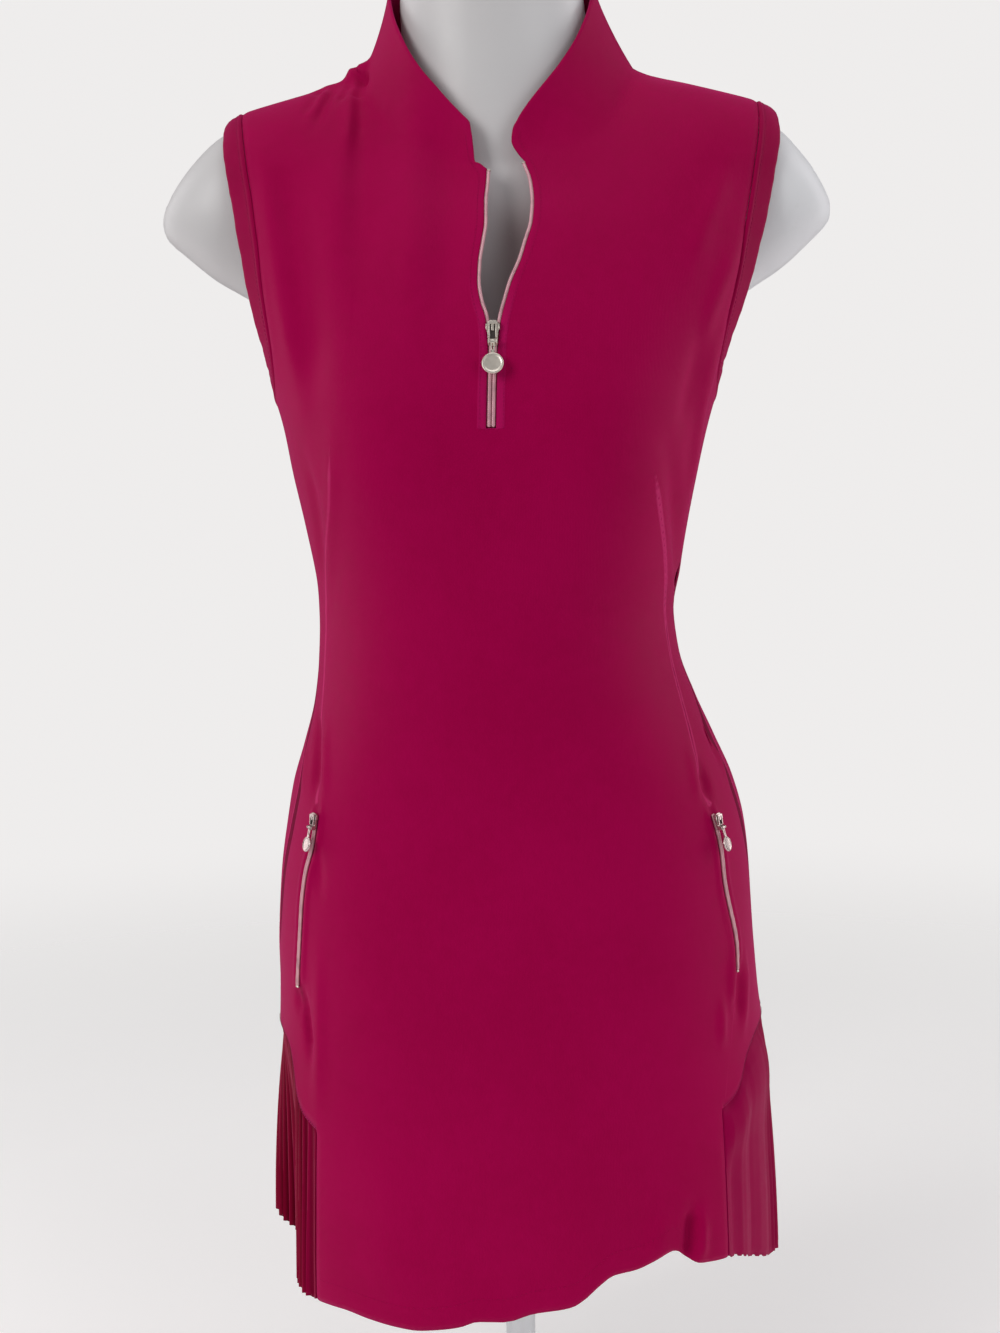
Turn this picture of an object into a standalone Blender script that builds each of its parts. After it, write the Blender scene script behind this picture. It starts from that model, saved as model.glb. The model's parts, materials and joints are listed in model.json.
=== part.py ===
"""Sleeveless shift dress on a limbless dress form with a plain round stand.

Metres, +Z up, the front of the dress towards -Y, origin under the middle of
the base.  The cloth is built as real panels: a front with a cut-on collar and
a centre slit, a back with a cut-on collar, two armhole bands and a pleated
flounce that runs round the back from one side of the front apron to the
other.  Every panel is a wall of cloth, its surface worked out from the body
sections below.
"""
import bpy
import math
from mathutils import Vector, Matrix

# ----------------------------------------------------------- driving sizes
CLOTH = 0.0016          # wall of the cloth
GAP = 0.0004            # between two pieces at a seam
SEAM_Y = 0.004          # plane of the shoulder and side seams
UNDERARM_Z = 0.7925     # foot of the armhole seam
FULL_Z = 0.385          # first level row above the flounce seam
SLOT_Z = 0.779          # foot of the centre zip
ZIP_HALF = 0.0032       # half the slot of the closed zip
BUST = 0.006            # extra depth of each bust point
NECK_X = 0.094          # half width of the neck at the shoulder seam
NECK_Z = 1.028          # and its height
BAND_W = 0.0170         # armhole band
BAND_LEAN = math.radians(6)
APRON_TH = 48.6         # half angle of the apron between the pleats
PLEATS = 80             # folds in the flounce
PLEAT_HEM = 0.0034      # half depth of a fold at the hem
PLEAT_TOP = 0.0006      # and under the seam
FLOUNCE_WALL = 0.0022   # measured across the folds
HANG = 0.0011           # the flounce below and beside the panels it is sewn to

# columns from the centre to the side, and rows of the panels
K_FRONT, K_APRON, K_NECK = 11, 6, 5
K_BACK, K_BACK_NECK = 8, 4
APRON_ROWS, LOW_ROWS, YOKE_ROWS, COLLAR_ROWS = 3, 3, 10, 4
LEVELS = (FULL_Z, 0.42, 0.46, 0.50, 0.54, 0.58, 0.62, 0.66, 0.70, 0.74, SLOT_Z, UNDERARM_Z)

# body sections: height, middle, half width, depth in front and behind, squareness
BODY = (
    # z      cx       a       front    back    n
    (0.150, 0.0045, 0.1860, 0.1330, 0.1500, 2.30),
    (0.200, 0.0045, 0.1855, 0.1310, 0.1480, 2.30),
    (0.250, 0.0045, 0.1840, 0.1280, 0.1450, 2.30),
    (0.300, 0.0045, 0.1815, 0.1250, 0.1420, 2.30),
    (0.345, 0.0042, 0.1772, 0.1230, 0.1380, 2.30),
    (0.380, 0.0030, 0.1745, 0.1220, 0.1340, 2.30),
    (0.420, 0.0018, 0.1726, 0.1210, 0.1300, 2.30),
    (0.465, 0.0022, 0.1696, 0.1200, 0.1240, 2.30),
    (0.500, 0.0027, 0.1650, 0.1190, 0.1170, 2.30),
    (0.530, 0.0014, 0.1585, 0.1180, 0.1080, 2.28),
    (0.560, -0.0005, 0.1475, 0.1170, 0.0990, 2.25),
    (0.590, -0.0030, 0.1365, 0.1160, 0.0910, 2.22),
    (0.620, -0.0065, 0.1294, 0.1155, 0.0850, 2.20),
    (0.650, -0.0076, 0.1269, 0.1150, 0.0820, 2.20),
    (0.680, -0.0055, 0.1300, 0.1190, 0.0830, 2.30),
    (0.715, -0.0055, 0.1357, 0.1250, 0.0880, 2.45),
    (0.750, -0.0055, 0.1425, 0.1300, 0.0940, 2.60),
    (0.7925, -0.0048, 0.1520, 0.1295, 0.0990, 2.60),
    (0.815, -0.0045, 0.1605, 0.1265, 0.1015, 2.55),
    (0.840, -0.0045, 0.1720, 0.1210, 0.1030, 2.50),
    (0.872, -0.0040, 0.1870, 0.1110, 0.1030, 2.45),
    (0.910, -0.0030, 0.2020, 0.0955, 0.0985, 2.40),
    (0.950, -0.0020, 0.2130, 0.0745, 0.0900, 2.35),
    (0.990, 0.0000, 0.2190, 0.0600, 0.0760, 2.30),
    (1.040, 0.0000, 0.2200, 0.0500, 0.0600, 2.30),
    (1.200, 0.0000, 0.2200, 0.0480, 0.0550, 2.30),
)
CX, A, FRONT, BACK, N = 1, 2, 3, 4, 5

# top line of the shoulder, from the neck to the armhole, and the height in which it rounds over
SHOULDER = (
    # x      z       round
    (0.000, 1.1500, 0.105), (0.070, 1.0650, 0.105), (0.085, 1.0400, 0.100), (0.094, 1.0280, 0.094),
    (0.1037, 1.0235, 0.085), (0.1295, 1.0165, 0.066), (0.150, 1.0105, 0.055), (0.1757, 1.0035, 0.048),
    (0.185, 1.0005, 0.046), (0.1918, 0.9972, 0.045), (0.195, 0.9950, 0.045), (0.220, 0.9800, 0.045),
)
# armhole seam on the front and back, as an angle from the centre
ARMHOLE = (
    # z       left   right
    (0.7925, 90.0, 90.0), (0.7970, 82.0, 83.0), (0.8030, 74.5, 76.5),
    (0.8150, 65.5, 69.0), (0.8410, 56.5, 62.0), (0.8780, 51.0, 57.0),
    (0.9080, 48.5, 54.0), (0.9350, 48.0, 53.0), (0.9630, 49.0, 52.6),
    (0.9850, 50.5, 52.4), (1.0030, 52.0, 52.4),
)
# side seams, in degrees from the centre front
SIDE = (
    # z      left  right
    (0.345, 86.5, 87.5), (0.400, 81.0, 86.0), (0.440, 77.0, 84.0),
    (0.480, 73.0, 80.5), (0.505, 70.0, 77.5), (0.530, 68.0, 76.5),
    (0.560, 74.0, 77.0), (0.600, 82.0, 84.0), (0.660, 87.0, 88.0),
    (0.740, 90.0, 90.0), (0.7925, 90.0, 90.0),
)
# edges of the centre slit
SLIT = (
    # z      left     right
    (0.7790, -0.0070, -0.0006), (0.8130, -0.0058, 0.0006), (0.8320, -0.0050, 0.0014),
    (0.8495, -0.0064, 0.0037), (0.8610, -0.0099, 0.0068), (0.8740, -0.0118, 0.0108),
    (0.8875, -0.0112, 0.0167), (0.9005, -0.0092, 0.0207), (0.9140, -0.0073, 0.0246),
    (0.9280, -0.0073, 0.0255), (0.9415, -0.0061, 0.0243), (0.9550, -0.0054, 0.0197),
)
SLIT_TOP = {-1: 0.9504, 1: 0.9553}
# front ends of the collar, from the slit up to the corner
COLLAR_END = (
    # v    left x   left z   right x  right z
    (0.00, -0.0054, 0.9504, 0.0197, 0.9553),
    (0.25, -0.0138, 0.9560, 0.0152, 0.9605),
    (0.50, -0.0150, 0.9660, 0.0110, 0.9690),
    (0.75, -0.0160, 0.9760, 0.0118, 0.9765),
    (1.00, -0.0167, 0.9830, 0.0147, 0.9830),
)
# top edge of the collar, round from the front
COLLAR_TOP = (
    # tau   x       y       z
    (12, 0.0150, -0.0640, 0.9830), (28, 0.0335, -0.0580, 1.0040),
    (43, 0.0480, -0.0480, 1.0230), (59, 0.0610, -0.0340, 1.0450),
    (74, 0.0685, -0.0170, 1.0660), (90, 0.0712, 0.0030, 1.0830),
    (120, 0.0600, 0.0300, 1.0940), (150, 0.0350, 0.0450, 1.0980),
    (180, 0.0000, 0.0500, 1.0990),
)
# hem of the front apron
HEM = (
    # x       z
    (-0.150, 0.1740), (-0.1204, 0.1740), (-0.1013, 0.1713), (-0.082, 0.1689),
    (-0.0680, 0.1679), (-0.0548, 0.1692), (-0.0368, 0.1724), (-0.0244, 0.1765),
    (-0.0067, 0.1766), (0.0130, 0.1824), (0.0395, 0.1866), (0.0484, 0.1918),
    (0.0580, 0.2002), (0.0683, 0.2070), (0.0847, 0.2095), (0.0971, 0.2141),
    (0.1097, 0.2190), (0.1279, 0.2067), (0.1474, 0.2043), (0.160, 0.2040),
)
# seam above the pleats
FLOUNCE_SEAM = (
    # th     left    right
    (48.0, 0.2955, 0.3090), (55.0, 0.3050, 0.3170), (58.5, 0.3166, 0.3260),
    (61.0, 0.3330, 0.3360), (65.0, 0.3480, 0.3450), (72.0, 0.3540, 0.3525),
    (90.0, 0.3580, 0.3580), (120.0, 0.3610, 0.3610), (180.0, 0.3620, 0.3620),
)
# plan of the flounce at its hem, from the left end of the apron round the back
FLOUNCE_HEM = (
    # x       y        z
    (-0.1413, -0.0900, 0.1740), (-0.1520, -0.0700, 0.1710), (-0.1600, -0.0450, 0.1690),
    (-0.1605, -0.0200, 0.1700), (-0.1600, 0.0020, 0.1720), (-0.1680, 0.0240, 0.1750),
    (-0.1840, 0.0430, 0.1780), (-0.1915, 0.0660, 0.1800), (-0.1860, 0.0910, 0.1800),
    (-0.1660, 0.1150, 0.1810), (-0.1330, 0.1370, 0.1810), (-0.0900, 0.1530, 0.1820),
    (-0.0400, 0.1600, 0.1820), (0.0100, 0.1620, 0.1820), (0.0550, 0.1590, 0.1820),
    (0.1000, 0.1490, 0.1810), (0.1400, 0.1300, 0.1800), (0.1680, 0.1050, 0.1780),
    (0.1840, 0.0750, 0.1760), (0.1900, 0.0420, 0.1740), (0.1915, 0.0080, 0.1720),
    (0.1850, -0.0250, 0.1780), (0.1730, -0.0520, 0.1880), (0.1600, -0.0740, 0.1980),
    (0.1474, -0.0913, 0.2043),
)
# zips on the pockets: the line of the chain from its slider down
POCKET = {
    # z      x
    -1: ((0.5235, -0.1306), (0.5081, -0.1318), (0.4909, -0.1352), (0.4774, -0.1400),
         (0.4560, -0.1434), (0.4274, -0.1460), (0.3946, -0.1488)),
    1: ((0.5195, 0.1388), (0.5035, 0.1432), (0.4877, 0.1466), (0.4672, 0.1478),
        (0.4486, 0.1512), (0.4293, 0.1555), (0.4148, 0.1575), (0.4019, 0.1560)),
}
# the form inside: torso sections, and the stubs that end above the elbow
TORSO = (
    # z      half w  front    back
    (0.790, 0.1430, 0.1080, 0.0905), (0.815, 0.1450, 0.0980, 0.0930),
    (0.850, 0.1465, 0.0860, 0.0930), (0.880, 0.1470, 0.0770, 0.0910),
    (0.905, 0.1460, 0.0700, 0.0880), (0.930, 0.1420, 0.0640, 0.0820),
    (0.950, 0.1330, 0.0575, 0.0740), (0.968, 0.1180, 0.0480, 0.0640),
    (0.984, 0.0950, 0.0380, 0.0520),
)
NECK = (
    # z      half w  front    back
    (0.930, 0.0600, 0.0560, 0.0700), (0.955, 0.0620, 0.0555, 0.0640),
    (0.978, 0.0640, 0.0530, 0.0580), (1.000, 0.0655, 0.0500, 0.0530),
    (1.020, 0.0660, 0.0485, 0.0490), (1.045, 0.0655, 0.0480, 0.0450),
    (1.075, 0.0640, 0.0480, 0.0420), (1.105, 0.0615, 0.0485, 0.0410),
    (1.135, 0.0600, 0.0490, 0.0410),
)
STUB = (
    # x      mid z   half h  half d
    (0.020, 0.9480, 0.0680, 0.0330), (0.070, 0.9470, 0.0690, 0.0340),
    (0.094, 0.9430, 0.0715, 0.0350), (0.115, 0.9385, 0.0730, 0.0370),
    (0.135, 0.9340, 0.0720, 0.0390), (0.152, 0.9315, 0.0700, 0.0400),
    (0.172, 0.9330, 0.0625, 0.0395), (0.187, 0.9350, 0.0555, 0.0380),
    (0.199, 0.9345, 0.0475, 0.0350), (0.210, 0.9335, 0.0375, 0.0300),
    (0.2205, 0.9320, 0.0265, 0.0235), (0.229, 0.9290, 0.0160, 0.0160),
    (0.2345, 0.9270, 0.0075, 0.0080),
)
FORM_BOTTOM = 0.300
FORM_CLEAR = 0.0085     # inside the outer face of the dress
BASE_R, BASE_T = 0.150, 0.012
POLE_R = 0.011
SOCKET_R, SOCKET_H = 0.022, 0.035

# ----------------------------------------------------------- the sections


def curve(rows, column, t, key=0):
    """Smooth line through one column of a table, with no overshoot."""
    xs = [row[key] for row in rows]
    ys = [row[column] for row in rows]
    if t <= xs[0]:
        return ys[0]
    if t >= xs[-1]:
        return ys[-1]
    j = max(i for i in range(len(xs) - 1) if xs[i] <= t)

    def slope(m):
        if m == 0:
            return (ys[1] - ys[0]) / (xs[1] - xs[0])
        if m == len(xs) - 1:
            return (ys[-1] - ys[-2]) / (xs[-1] - xs[-2])
        h0, h1 = xs[m] - xs[m - 1], xs[m + 1] - xs[m]
        d0, d1 = (ys[m] - ys[m - 1]) / h0, (ys[m + 1] - ys[m]) / h1
        if d0 * d1 <= 0:
            return 0.0
        w0, w1 = 2 * h1 + h0, h1 + 2 * h0
        return (w0 + w1) / (w0 / d0 + w1 / d1)

    h = xs[j + 1] - xs[j]
    s = (t - xs[j]) / h
    m0, m1 = slope(j) * h, slope(j + 1) * h
    return ((2 * s ** 3 - 3 * s * s + 1) * ys[j] + (s ** 3 - 2 * s * s + s) * m0
            + (-2 * s ** 3 + 3 * s * s) * ys[j + 1] + (s ** 3 - s * s) * m1)


def ease(t):
    return t * t * (3 - 2 * t)


def shoulder_fade(x, z):
    """1 below the shoulder, rounding down to 0 on its top line."""
    if z < 0.9:
        return 1.0
    q = (curve(SHOULDER, 1, abs(x)) - z) / curve(SHOULDER, 2, abs(x))
    return 1.0 if q >= 1 else 0.0 if q <= 0 else math.sqrt(1 - (1 - q) ** 2)


def place(th, z):
    """Point on the outside of the dress, th degrees round from the centre front."""
    a, n = curve(BODY, A, z), curve(BODY, N, z)
    cx = curve(BODY, CX, z)
    s, c = math.sin(math.radians(th)), math.cos(math.radians(th))
    x = cx + a * math.copysign(abs(s) ** (2 / n), s)
    m = abs(c) ** (2 / n) * shoulder_fade(x, z)
    if c >= 0:
        bump = BUST * m * math.exp(-((abs(x - cx) - 0.082) / 0.045) ** 2 - ((z - 0.775) / 0.06) ** 2)
        y = SEAM_Y - (curve(BODY, FRONT, z) + SEAM_Y) * m - bump
    else:
        y = SEAM_Y + (curve(BODY, BACK, z) - SEAM_Y) * m
    return Vector((x, y, z))


def angle_of(x, z):
    """Angle from the centre, 0 to 90, of a point of that x on the section at z."""
    r = min(1.0, abs(x - curve(BODY, CX, z)) / curve(BODY, A, z))
    return math.degrees(math.asin(r ** (curve(BODY, N, z) / 2)))


def outward(th, z):
    """Outward normal of the dress."""
    e = 0.4
    along = place(th + e, z) - place(th - e, z)
    up = place(th, z + 0.002) - place(th, z - 0.002)
    return along.cross(up).normalized()


def front_at(x, z):
    """Point and outward normal on the front, at that x and height."""
    sign = -1 if x < curve(BODY, CX, z) else 1
    th = sign * angle_of(x, z)
    return place(th, z), outward(th, z)


# ----------------------------------------------------------- mesh helpers


class Sheet:
    """The outer face of a piece of cloth, then given its wall."""

    def __init__(self):
        self.points, self.faces, self.fixed = [], [], {}

    def add(self, point):
        self.points.append(Vector(point))
        return len(self.points) - 1

    def quad(self, a, b, c, d):
        self.faces.append((a, b, c, d))

    def normals(self):
        total = [Vector() for _ in self.points]
        for face in self.faces:
            p = [self.points[i] for i in face]
            area = (p[2] - p[0]).cross(p[3] - p[1])
            for i in face:
                total[i] += area
        for i, n in self.fixed.items():
            total[i] = n(total[i])
        return [n.normalized() for n in total]

    def wall(self, thickness, lift=0.0):
        normal = self.normals()
        count = len(self.points)
        points = [p + n * lift for p, n in zip(self.points, normal)]
        points += [p - n * thickness for p, n in zip(points, normal)]
        faces = list(self.faces)
        faces += [tuple(i + count for i in reversed(f)) for f in self.faces]
        edges = {}
        for f in self.faces:
            for i in range(len(f)):
                edges[(f[i], f[(i + 1) % len(f)])] = True
        for a, b in edges:
            if (b, a) not in edges:
                faces.append((b, a, a + count, b + count))
        return points, faces


def material(name, colour, roughness, metallic=0.0):
    m = bpy.data.materials.get(name)
    if m is None:
        m = bpy.data.materials.new(name)
        m.use_nodes = True
        shader = m.node_tree.nodes["Principled BSDF"]
        shader.inputs["Base Color"].default_value = (*colour, 1)
        shader.inputs["Roughness"].default_value = roughness
        shader.inputs["Metallic"].default_value = metallic
    return m


def piece(name, points, faces, mat, smooth=True, frame=None):
    """A named object from points and faces, corners that coincide made one."""
    index, kept, where = {}, [], []
    for p in points:
        key = tuple(round(c * 1e7) for c in p)
        if key not in index:
            index[key] = len(kept)
            kept.append(tuple(p))
        where.append(index[key])
    clean = []
    for f in faces:
        g = []
        for i in f:
            if not g or where[i] != g[-1]:
                g.append(where[i])
        if g[0] == g[-1]:
            g.pop()
        if len(g) >= 3:
            clean.append(g)
    mesh = bpy.data.meshes.new(name)
    mesh.from_pydata(kept, [], clean)
    mesh.validate()
    mesh.materials.append(mat)
    if smooth:
        mesh.shade_smooth()
        mesh.set_sharp_from_angle(angle=math.radians(40))
    obj = bpy.data.objects.new(name, mesh)
    bpy.context.scene.collection.objects.link(obj)
    if frame is not None:
        obj.matrix_world = frame
    return obj


def turned(profile, sides, middle=(0, 0)):
    """Closed solid turned round a vertical axis, from (radius, z) bottom to top outside."""
    points, faces = [], []
    for r, z in profile:
        for i in range(sides):
            a = 2 * math.pi * i / sides
            points.append((middle[0] + r * math.cos(a), middle[1] + r * math.sin(a), z))
    for j in range(len(profile) - 1):
        for i in range(sides):
            k = (i + 1) % sides
            faces.append((j * sides + i, j * sides + k, (j + 1) * sides + k, (j + 1) * sides + i))
    return points, faces


def cells(xs, ys, zs, filled, skip=()):
    """Closed skin round the filled cells of a grid of planes."""
    points, faces = [], []

    def solid(i, j, k):
        inside = 0 <= i < len(xs) - 1 and 0 <= j < len(ys) - 1 and 0 <= k < len(zs) - 1
        return inside and filled((xs[i] + xs[i + 1]) / 2, (ys[j] + ys[j + 1]) / 2, (zs[k] + zs[k + 1]) / 2)

    def face(*corners):
        base = len(points)
        points.extend((xs[i], ys[j], zs[k]) for i, j, k in corners)
        faces.append(tuple(range(base, base + 4)))

    for i in range(len(xs) - 1):
        for j in range(len(ys) - 1):
            for k in range(len(zs) - 1):
                if not solid(i, j, k):
                    continue
                u, v, w = i + 1, j + 1, k + 1
                if not solid(i - 1, j, k):
                    face((i, j, k), (i, j, w), (i, v, w), (i, v, k))
                if not solid(u, j, k):
                    face((u, j, k), (u, v, k), (u, v, w), (u, j, w))
                if not solid(i, j - 1, k):
                    face((i, j, k), (u, j, k), (u, j, w), (i, j, w))
                if not solid(i, v, k):
                    face((i, v, k), (i, v, w), (u, v, w), (u, v, k))
                if not solid(i, j, k - 1):
                    face((i, j, k), (i, v, k), (u, v, k), (u, j, k))
                if not solid(i, j, w):
                    face((i, j, w), (u, j, w), (u, v, w), (i, v, w))
    return points, faces


# ----------------------------------------------------------- dress panels


def column_of(side):
    return 1 if side < 0 else 2


def slit_x(z, side):
    if z < SLOT_Z - 1e-6:
        z = SLOT_Z
    return curve(SLIT, column_of(side), z)


def slit_angle(z, side):
    """Signed angle, positive towards the side, of the slit's edge."""
    x = slit_x(z, side)
    return angle_of(x, z) * math.copysign(1, (x - curve(BODY, CX, z)) * side)


def side_angle(z, side, cut):
    a = curve(SIDE, column_of(side), z)
    return a + cut * math.degrees(GAP / 2 / curve(BODY, A, z))


def seam_z(th, side):
    return curve(FLOUNCE_SEAM, column_of(side), th)


class Panel(Sheet):
    """Front or back of the dress with its share of the collar."""

    def __init__(self, front):
        super().__init__()
        self.front = front
        self.count = K_FRONT if front else K_BACK
        self.neck = K_NECK if front else K_BACK_NECK
        self.grid = {}
        for side in (-1, 1):
            self.tops(side)
            self.build(side)
        self.relax()
        self.join()

    # -- angles, from the centre line (front or back) to the side seam
    def inner(self, z, side):
        return slit_angle(z, side) if self.front else 0.0

    def outer(self, z, side):
        if self.front:
            return side_angle(z, side, -1)
        return 180.0 - side_angle(z, side, 1)

    def spread(self, z, side, k):
        lo, hi = self.inner(z, side), self.outer(z, side)
        if not self.front:
            return lo + (hi - lo) * k / self.count
        if k <= K_APRON:
            return lo + (APRON_TH - lo) * k / K_APRON
        return APRON_TH + (hi - APRON_TH) * (k - K_APRON) / (self.count - K_APRON)

    def surface(self, side, th, z):
        return place(side * (th if self.front else 180.0 - th), z)

    # -- the neck curve and the shoulder line at the top of the yoke
    def tau(self, k):
        if self.front:
            return 12 + 78 * k / self.neck
        return 180 - 90 * k / self.neck

    def tops(self, side):
        tip = abs(place(curve(ARMHOLE, column_of(side), 1.003), 1.003).x)
        out = []
        for k in range(self.count + 1):
            if k <= self.neck:
                t = math.radians(self.tau(k))
                lift = NECK_Z - 0.073 if self.front else NECK_Z + 0.012
                x = NECK_X * math.sin(t)
                y = SEAM_Y - (0.0745 if self.front else 0.054) * math.copysign(abs(math.cos(t)) ** 0.8, math.cos(t))
                z = lift + (NECK_Z - lift) * (1 - abs(math.cos(t)))
                if self.front and k == 0:
                    x, z = side * slit_x(SLIT_TOP[side], side), SLIT_TOP[side]
                    y = place(side * slit_angle(z, side), z).y
            else:
                x = NECK_X + (tip - NECK_X) * (k - self.neck) / (self.count - self.neck)
                z, y = curve(SHOULDER, 1, x), SEAM_Y
            out.append((side * x, y, z))
        self.top = out
        zu = UNDERARM_Z
        hi, lo = self.outer(zu, side), self.inner(zu, side)
        self.low = [(self.spread(zu, side, k) - lo) / (hi - lo) for k in range(self.count + 1)]
        self.high, self.slip = [], []
        arm = curve(ARMHOLE, column_of(side), out[-1][2])
        for k, (x, y, z) in enumerate(out):
            lo = self.inner(min(z, SLIT_TOP[side]), side)
            th = angle_of(x, z) * math.copysign(1, (x - curve(BODY, CX, z)) * side)
            if not self.front and k == 0:
                th = 0.0
            self.high.append((th - lo) / (arm - lo))
            self.slip.append(y - self.surface(side, th, z).y)
        self.high[0], self.high[-1] = 0.0, 1.0

    def yoke(self, side, w, k):
        b = (k / self.count) ** 0.7
        z = UNDERARM_Z + (self.top[k][2] - UNDERARM_Z) * ((1 - b) * w + b * ease(w))
        arm_z = UNDERARM_Z + (self.top[-1][2] - UNDERARM_Z) * ease(w)
        arm = min(self.outer(UNDERARM_Z, side), curve(ARMHOLE, column_of(side), arm_z))
        lo = self.inner(min(z, SLIT_TOP[side]), side)
        u = (1 - ease(w)) * self.low[k] + ease(w) * self.high[k]
        p = self.surface(side, lo + (arm - lo) * u, z)
        p.y += self.slip[k] * w ** 3
        if w == 1.0 and k > self.neck - 1:
            p.y = SEAM_Y + (-GAP / 2 if self.front else GAP / 2)
        return p

    def collar(self, side, v, k):
        base = self.points[self.grid[(side, self.yoke_top, k)]]
        if self.front and k == 0:
            c = 1 if side < 0 else 3
            x, z = curve(COLLAR_END, c, v), curve(COLLAR_END, c + 1, v)
            return Vector((x, base.y + (-0.0640 - base.y) * v, z))
        t = self.tau(k)
        top = Vector((side * curve(COLLAR_TOP, 1, t) - 0.0035, curve(COLLAR_TOP, 2, t), curve(COLLAR_TOP, 3, t)))
        if k == self.neck:
            top.y = base.y
        hollow = Vector((side * math.sin(math.radians(t)), -math.cos(math.radians(t)), 0)) * 0.0088 * v * (1 - v)
        if k == self.neck:
            hollow.y = 0
        return base.lerp(top, v) - hollow

    def build(self, side):
        rows = []
        if self.front:
            for r in range(APRON_ROWS):
                rows.append(("apron", r / APRON_ROWS))
        for r in range(LOW_ROWS):
            rows.append(("low", r / LOW_ROWS))
        rows += [("level", z) for z in LEVELS]
        rows += [("yoke", (r + 1) / YOKE_ROWS) for r in range(YOKE_ROWS)]
        self.first_low = APRON_ROWS if self.front else 0
        self.slot_row = self.first_low + LOW_ROWS + LEVELS.index(SLOT_Z)
        self.under_row = self.slot_row + 1
        self.yoke_top = len(rows) - 1
        corner = seam_z(APRON_TH, side)
        for r, (kind, value) in enumerate(rows):
            for k in range(self.count + 1):
                if kind == "apron":
                    if k > K_APRON:
                        continue
                    x = self.surface(side, self.spread(0.2, side, k), 0.2).x
                    hem = curve(HEM, 1, x)
                    z = hem + (corner - hem) * value
                elif kind == "low":
                    if self.front and k <= K_APRON:
                        foot = corner
                    else:
                        th = self.spread(0.355, side, k)
                        foot = seam_z(th if self.front else 180 - th, side)
                    z = foot + (FULL_Z - foot) * value
                elif kind == "level":
                    z = value
                if kind == "yoke":
                    p = self.yoke(side, value, k)
                else:
                    if kind == "apron" and k == 0:
                        p = self.surface(side, self.inner(z, side), z)
                    else:
                        p = self.surface(side, self.spread(z, side, k), z)
                if not self.front and k == 0 and side == 1:
                    self.grid[(side, r, k)] = self.grid[(-1, r, k)]
                    continue
                self.grid[(side, r, k)] = self.add(p)
                if k == self.count and kind != "yoke":
                    n = outward(side * curve(SIDE, column_of(side), z), z)
                    self.fixed[len(self.points) - 1] = lambda _, n=n: n
                if kind == "yoke" and value == 1.0 and k >= self.neck:
                    self.fixed[len(self.points) - 1] = lambda n: Vector((n.x, 0, n.z))
        for c in range(COLLAR_ROWS):
            r = self.yoke_top + 1 + c
            for k in range(self.neck + 1):
                if not self.front and k == 0 and side == 1:
                    self.grid[(side, r, k)] = self.grid[(-1, r, k)]
                    continue
                self.grid[(side, r, k)] = self.add(self.collar(side, (c + 1) / COLLAR_ROWS, k))
                if k == self.neck:
                    self.fixed[len(self.points) - 1] = lambda n: Vector((n.x, 0, n.z))
        self.last = self.yoke_top + COLLAR_ROWS

    def relax(self):
        """Ease the fold that runs down from the neck end of the shoulder seam."""
        for _ in range(4):
            moved = {}
            for side in (-1, 1):
                for r in range(self.under_row + 2, self.yoke_top):
                    for k in range(self.neck - 2, self.neck + 4):
                        if not 0 < k < self.count:
                            continue
                        a, p, b = (self.points[self.grid[(side, r, j)]] for j in (k - 1, k, k + 1))
                        level = a.y + (b.y - a.y) * (p.x - a.x) / (b.x - a.x)
                        moved[self.grid[(side, r, k)]] = p.y + (level - p.y) * 0.35
            for i, y in moved.items():
                self.points[i].y = y

    def join(self):
        for side in (-1, 1):
            turn = side if self.front else -side
            for r in range(self.last):
                for k in range(self.count):
                    keys = [(side, r, k), (side, r, k + 1), (side, r + 1, k + 1), (side, r + 1, k)]
                    if all(q in self.grid for q in keys):
                        ids = [self.grid[q] for q in keys]
                        self.quad(*(ids if turn > 0 else reversed(ids)))
        if self.front:
            for r in range(self.slot_row):
                ids = [self.grid[q] for q in ((-1, r, 0), (1, r, 0), (1, r + 1, 0), (-1, r + 1, 0))]
                self.quad(*ids)

    def edge(self, side, k, rows):
        return [self.grid[(side, r, k)] for r in rows]


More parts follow.
